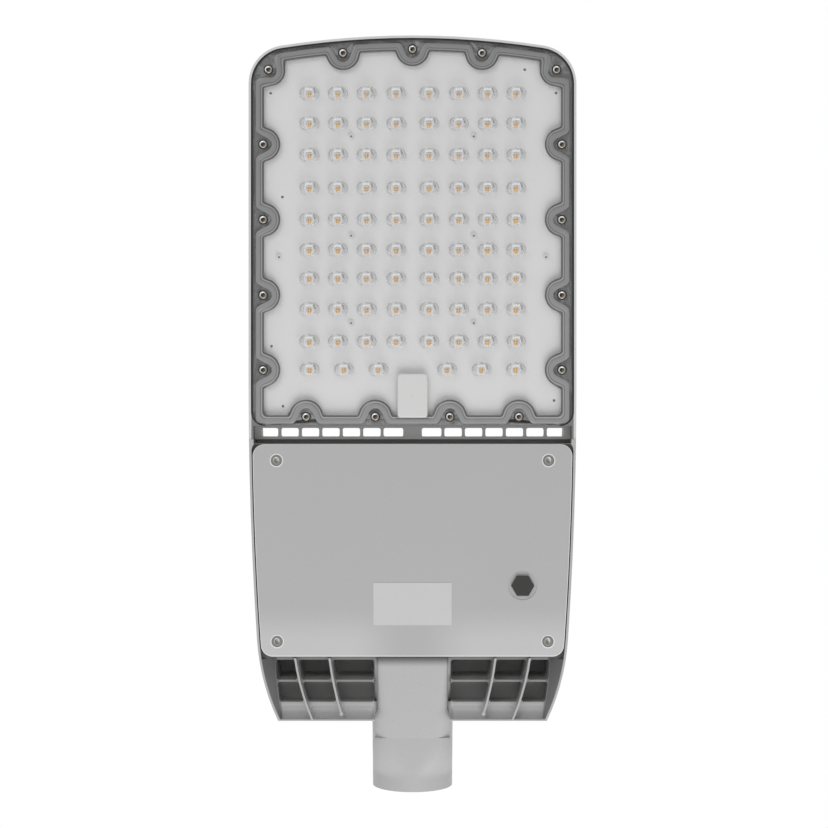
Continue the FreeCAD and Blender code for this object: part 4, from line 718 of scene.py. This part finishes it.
def capCover():
    # opaque lid of the raised cap: superellipse rings |x/a|^n + |y/b|^n = 1 from the foot up
    # the wall, over a soft edge and in to the middle
    cap = {"half": (14.15, 20.6), "middle": (0.0, 372.25), "square": 14.0,
           "wall": [(1.0, -41.9), (1.0, -43.0), (0.985, -43.4), (0.95, -43.6), (0.9, -43.64),
                    (0.5, -43.64), (0.02, -43.64)]}
    a = np.linspace(0, 2 * np.pi, 160, endpoint=False)
    power = 2.0 / cap["square"]
    x = np.sign(np.cos(a)) * np.abs(np.cos(a)) ** power
    y = np.sign(np.sin(a)) * np.abs(np.sin(a)) ** power
    rings = []
    for s, z in cap["wall"]:
        # near the wall the ring draws in by one distance on all sides
        wide = cap["half"][0] - cap["half"][1] * (1 - s) if s > 0.9 else cap["half"][0] * s
        rings.append(np.column_stack([cap["middle"][0] + wide * x,
                                      cap["middle"][1] + cap["half"][1] * s * y,
                                      np.full(len(a), z)]))
    points = np.stack(rings)
    rows, columns = points.shape[:2]
    return newPiece("capCover", points.reshape(-1, 3), gridFaces(rows, columns, False, True),
                    mouldedPart("capPlastic", grey(219, 0.003), 0.4, 1800.0, 0.03, 0.08))


def roundBar(name, start, end, radius, material):
    # half round bar along a straight line, height r sqrt(1 - t^2), closed on its upper side
    t = np.linspace(-1, 1, 9)
    along = np.linspace(0, 1, 12)[:, None]
    x = start[0] + (end[0] - start[0]) * along + 0 * t
    y = start[1] + (end[1] - start[1]) * along + radius * t
    z = start[2] - radius * np.sqrt(1 - t ** 2) + 0 * along
    points = np.stack([x, y, z], -1).reshape(-1, 3)
    return newPiece(name, points, gridFaces(*z.shape)[:, ::-1], material)


def neckSkin():
    # the cast skin from the tail to the socket: each section is a superellipse
    # |x/w|^n + |z/d|^n = 1, round with n = 2 on the socket and nearly square at the cover,
    # which also covers the thin corners that the casting has where the neck meets the socket
    neck = {"low": 9.0, "high": 127.6, "radius": 38.06, "half": 33.6, "flareLow": 68.0,
            "flareHigh": 79.0, "roundEnd": 12.0, "tip": 50.5, "base": 125.0,
            "square": (3.5, 7.0, 9.0), "deeper": (0.5, 5.6), "end": (127.9, -40.1)}
    y = np.linspace(neck["low"], neck["high"], 160)[:, None]
    turn = np.linspace(-0.5 * np.pi, 0.5 * np.pi, 97)[None, :]
    flare = np.clip((neck["flareHigh"] - y) / (neck["flareHigh"] - neck["flareLow"]), 0, 1)
    half = neck["half"] + (neck["radius"] - neck["half"]) * flare ** 2 * (3 - 2 * flare)
    start = np.clip((y - neck["roundEnd"]) / (neck["tip"] - neck["roundEnd"]), 0, 1)
    start = start ** 2 * (3 - 2 * start)
    k = np.clip((y - neck["tip"]) / (neck["base"] - neck["tip"]), 0, 1)
    power = 2 + neck["square"][0] * start + neck["square"][1] * k + neck["square"][2] * k ** 3
    depth = neck["radius"] + neck["deeper"][0] * start + neck["deeper"][1] * k
    across = np.sin(turn)
    z = -depth * (1 - np.abs(across) ** power) ** (1 / power)
    last = np.maximum(z[-1:], neck["end"][1])
    x, y, z = (np.concatenate(pair) for pair in (
        (half * across, half[-1:] * across), (y + 0 * turn, neck["end"][0] + 0 * turn), (z, last)))
    points = np.stack([x, y, z], -1).reshape(-1, 3)
    return newPiece("neckSkin", points, gridFaces(*x.shape)[:, ::-1],
                    bpy.data.materials["castingPaint"])


def neckFillets():
    # fillet in the groove beside the neck: a ruled strip between a line on the neck's side and
    # one on the tail's edge, p(s, t) = a + s (b - a) + t along the neck, bowed by a sine
    groove = {"low": 67.0, "high": 84.6, "neck": (33.4, -32.0), "tail": (36.5, -35.3),
              "bow": 0.2}
    s = np.linspace(0, 1, 9)[:, None]
    y = np.linspace(groove["low"], groove["high"], 12)[None, :]
    x = groove["neck"][0] + s * (groove["tail"][0] - groove["neck"][0]) - groove["bow"] * np.sin(
        np.pi * s)
    z = groove["neck"][1] + s * (groove["tail"][1] - groove["neck"][1]) + 0 * y
    half = np.stack([x + 0 * y, y + 0 * s, z], -1).reshape(-1, 3)
    faces = gridFaces(*z.shape)
    points = np.concatenate([half, half * (-1.0, 1.0, 1.0)])
    allFaces = np.concatenate([faces, faces[:, ::-1] + len(half)])
    return newPiece("neckFillets", points, allFaces, bpy.data.materials["castingPaint"])


# painted shade and painted highlight: the dark and the pale side of each screw head
headTones = ((0.42, 0.41, 0.39, 1), (0.86, 0.85, 0.83, 1))  # lower left and upper right


def turnedScrews(name, places, node, look):
    # screws turned from a profile of (radius, height); the socket is painted dark on one side as
    # shade and pale on the other as its lit side, the head in two tones as painted shade and
    # highlight, and its side past the flange radius in a darker tone as painted shade
    a = np.linspace(0, 2 * np.pi, 28, endpoint=False)[None, :]
    profile = look["profile"]
    radius, height = np.array(profile).T[:, :, None]
    x, y = radius * np.cos(a), radius * np.sin(a)
    points = np.stack([x, y, np.broadcast_to(height, x.shape)], -1).reshape(-1, 3)
    uv = flatUv(x, y)
    faces = gridFaces(len(profile), 28, closeColumns=True)
    allPoints, allFaces = repeated(points, faces, places)
    socket = profile[1][0] * 1.25
    material, tree, shader = newMaterial(name + "Steel")
    u, v = flatPlace(tree)
    fromMiddle = flatLength(tree, u, v)
    inside = spread(tree, fromMiddle, socket, socket * 0.85)
    lean = calc(tree, "MULTIPLY_ADD", v, look["lean"], u)
    drive = blend(tree, spread(tree, lean, -0.3, 2.2), look["shade"], look["litSide"])
    place = addNode(tree, "TexCoord").outputs["Object"]
    grain = noise(tree, place, 2600.0, 2.0)
    head = blend(tree, spread(tree, calc(tree, "SUBTRACT", v, u), -3.0, 3.0), *headTones)
    rim = spread(tree, fromMiddle, look["flange"], look["flange"] + 0.4)
    head = blend(tree, rim, head, look["flangeShade"])
    metal = calc(tree, "MULTIPLY", spread(tree, fromMiddle, socket * 0.85, socket),
                 calc(tree, "SUBTRACT", 1.0, rim))
    feed(tree, shader, Base_Color=blend(tree, inside, head, drive), Metallic=metal,
         Roughness=calc(tree, "MULTIPLY_ADD", grain, 0.15, 0.28),
         Normal=bumped(tree, grain, 0.2, 0.0001))
    piece = newPiece(name, allPoints, allFaces, material,
                     uv=np.tile(uv, (len(places), 1)))
    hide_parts(node)
    return piece


def seatRings(name, places, ring):
    # ring in or round each screw seat, a flat collar with its two edges turned up; its tone is
    # painted shade in the seat, or a painted highlight on the cover round the seat
    a = np.linspace(0, 2 * np.pi, 28, endpoint=False)[None, :]
    radius = np.array([ring["inner"], ring["inner"], ring["outer"], ring["outer"]])[:, None]
    height = ring["high"] + np.array([0.3, 0.0, 0.0, 0.3])[:, None]
    x, y = radius * np.cos(a), radius * np.sin(a)
    points = np.stack([x, y, np.broadcast_to(height, x.shape)], -1).reshape(-1, 3)
    allPoints, allFaces = repeated(points, gridFaces(4, 28, closeColumns=True), places)
    return newPiece(name, allPoints, allFaces,
                    mouldedPart(name + "Skin", ring["tone"], 0.5, 1200.0, 0.1))


lensScrewSpots = sorted(set(plate["screws"]))
coverScrewSpots = [(s * x, y) for x, y in ((127.2, 311.7), (126.5, 142.5)) for s in (1, -1)]
# per screw, the socket's dark and pale tones are painted shade and painted light, and the flange
# tone is painted shade on the head's side
lensScrew = {
    "profile": [(0.02, -41.2), (1.7, -41.3), (2.1, -42.4), (2.3, -42.75), (2.7, -42.98),
                (3.2, -42.85), (3.52, -42.4), (3.6, -41.6), (3.6, -40.8), (2.0, -40.8),
                (2.0, -28.9), (0.02, -28.9)],
    "lean": -1.0, "shade": (0.012, 0.008, 0.006, 1), "litSide": (0.34, 0.22, 0.13, 1),
    "flange": 3.2, "flangeShade": (0.05, 0.05, 0.05, 1)}
coverScrew = {
    "profile": [(0.02, -43.2), (2.1, -43.3), (2.5, -44.4), (2.8, -44.75), (3.3, -44.95),
                (4.1, -44.85), (4.5, -44.5), (4.6, -43.6), (4.6, -42.4), (2.5, -42.4),
                (2.5, -26.5), (0.02, -26.5)],
    "lean": 0.3, "shade": (0.26, 0.23, 0.2, 1), "litSide": (0.85, 0.83, 0.8, 1),
    "flange": 2.7, "flangeShade": grey(132)}
# painted shade: a dark ring round each lens screw's head and a grey one in each cover screw's
# seat; painted highlight: a pale ring on the cover round each of its seats
lensSeat = {"inner": 3.5, "outer": 4.55, "high": -41.6, "tone": grey(48)}
coverSeat = {"inner": 4.4, "outer": 5.38, "high": -44.6, "tone": grey(140)}
coverSeatEdge = {"inner": 5.35, "outer": 6.4, "high": -45.06, "tone": grey(236)}
capFoot = {"start": (-15.4, 350.7, -42.15), "end": (15.4, 350.7, -42.15), "radius": 0.55}
capCover()
roundBar("capShadow", capFoot["start"], capFoot["end"], capFoot["radius"],
         mouldedPart("shadowStrip", grey(96), 0.5, 900.0, 0.1))
neckSkin()
neckFillets()
turnedScrews("lensScrewHeads", lensScrewSpots, "lens_screws", lensScrew)
seatRings("lensScrewShadeRings", lensScrewSpots, lensSeat)
turnedScrews("coverScrewHeads", coverScrewSpots, "cover_screws", coverScrew)
seatRings("coverScrewShadeRings", coverScrewSpots, coverSeat)
seatRings("coverSeatHighlights", coverScrewSpots, coverSeatEdge)
print("cap and screws made")


studio = {"floorSize": 6.0, "floorMiddle": (0.0, 0.35, -3.4), "world": 0.55,
          "key": ((0.9, 1.6, -1.9), 1.2, 7.0), "low": ((-0.3, -1.7, -1.6), 2.2, 36.0),
          "aim": (0.0, 0.36, 0.0)}
view = {"lens": 74.4, "sensor": 36.0, "place": (-0.0014, 0.355, -1.644),
        "turn": (0.0, math.pi, 0.0)}


def makeFloor():
    half = studio["floorSize"]
    points = np.array([(-half, -half, 0), (half, -half, 0), (half, half, 0), (-half, half, 0)])
    mesh = bpy.data.meshes.new("floor")
    mesh.from_pydata((points + np.array(studio["floorMiddle"])).tolist(), [], [(0, 1, 2, 3)])
    floor = bpy.data.objects.new("floor", mesh)
    bpy.context.scene.collection.objects.link(floor)
    material, tree, shader = newMaterial("floorPaper")
    feed(tree, shader, Base_Color=(0.86, 0.86, 0.86, 1), Roughness=0.9)
    mesh.materials.append(material)


def makeWorld():
    world = bpy.data.worlds.new("studio")
    bpy.context.scene.world = world
    world.use_nodes = True
    tree = world.node_tree
    tree.nodes.clear()
    path = addNode(tree, "LightPath").outputs
    seen = calc(tree, "MAXIMUM", path["Is Camera Ray"],
                calc(tree, "MAXIMUM", path["Is Glossy Ray"], path["Is Transmission Ray"]))
    white = addNode(tree, "Background", {"Color": (1, 1, 1, 1), "Strength": 1.0})
    soft = addNode(tree, "Background", {"Color": (1, 1, 1, 1), "Strength": studio["world"]})
    both = addNode(tree, "MixShader", {0: seen, 1: soft.outputs[0], 2: white.outputs[0]})
    addNode(tree, "OutputWorld", {"Surface": both.outputs[0]})


def areaLight(name, place, size, power):
    light = bpy.data.lights.new(name, "AREA")
    light.shape, light.size, light.energy = "DISK", size, power
    holder = bpy.data.objects.new(name, light)
    bpy.context.scene.collection.objects.link(holder)
    holder.location = place
    toward = Vector(studio["aim"]) - Vector(place)
    holder.rotation_euler = toward.to_track_quat("-Z", "Y").to_euler()


def makeCamera():
    # below the head, square to its rim, 1.6 m away
    lensData = bpy.data.cameras.new("camera")
    lensData.lens, lensData.sensor_width = view["lens"], view["sensor"]
    camera = bpy.data.objects.new("camera", lensData)
    bpy.context.scene.collection.objects.link(camera)
    camera.location = view["place"]
    camera.rotation_euler = view["turn"]
    bpy.context.scene.camera = camera


makeFloor()
makeWorld()
areaLight("key", *studio["key"])
areaLight("low", *studio["low"])
makeCamera()
bpy.context.scene.view_settings.view_transform = "Standard"

print("scene ready")
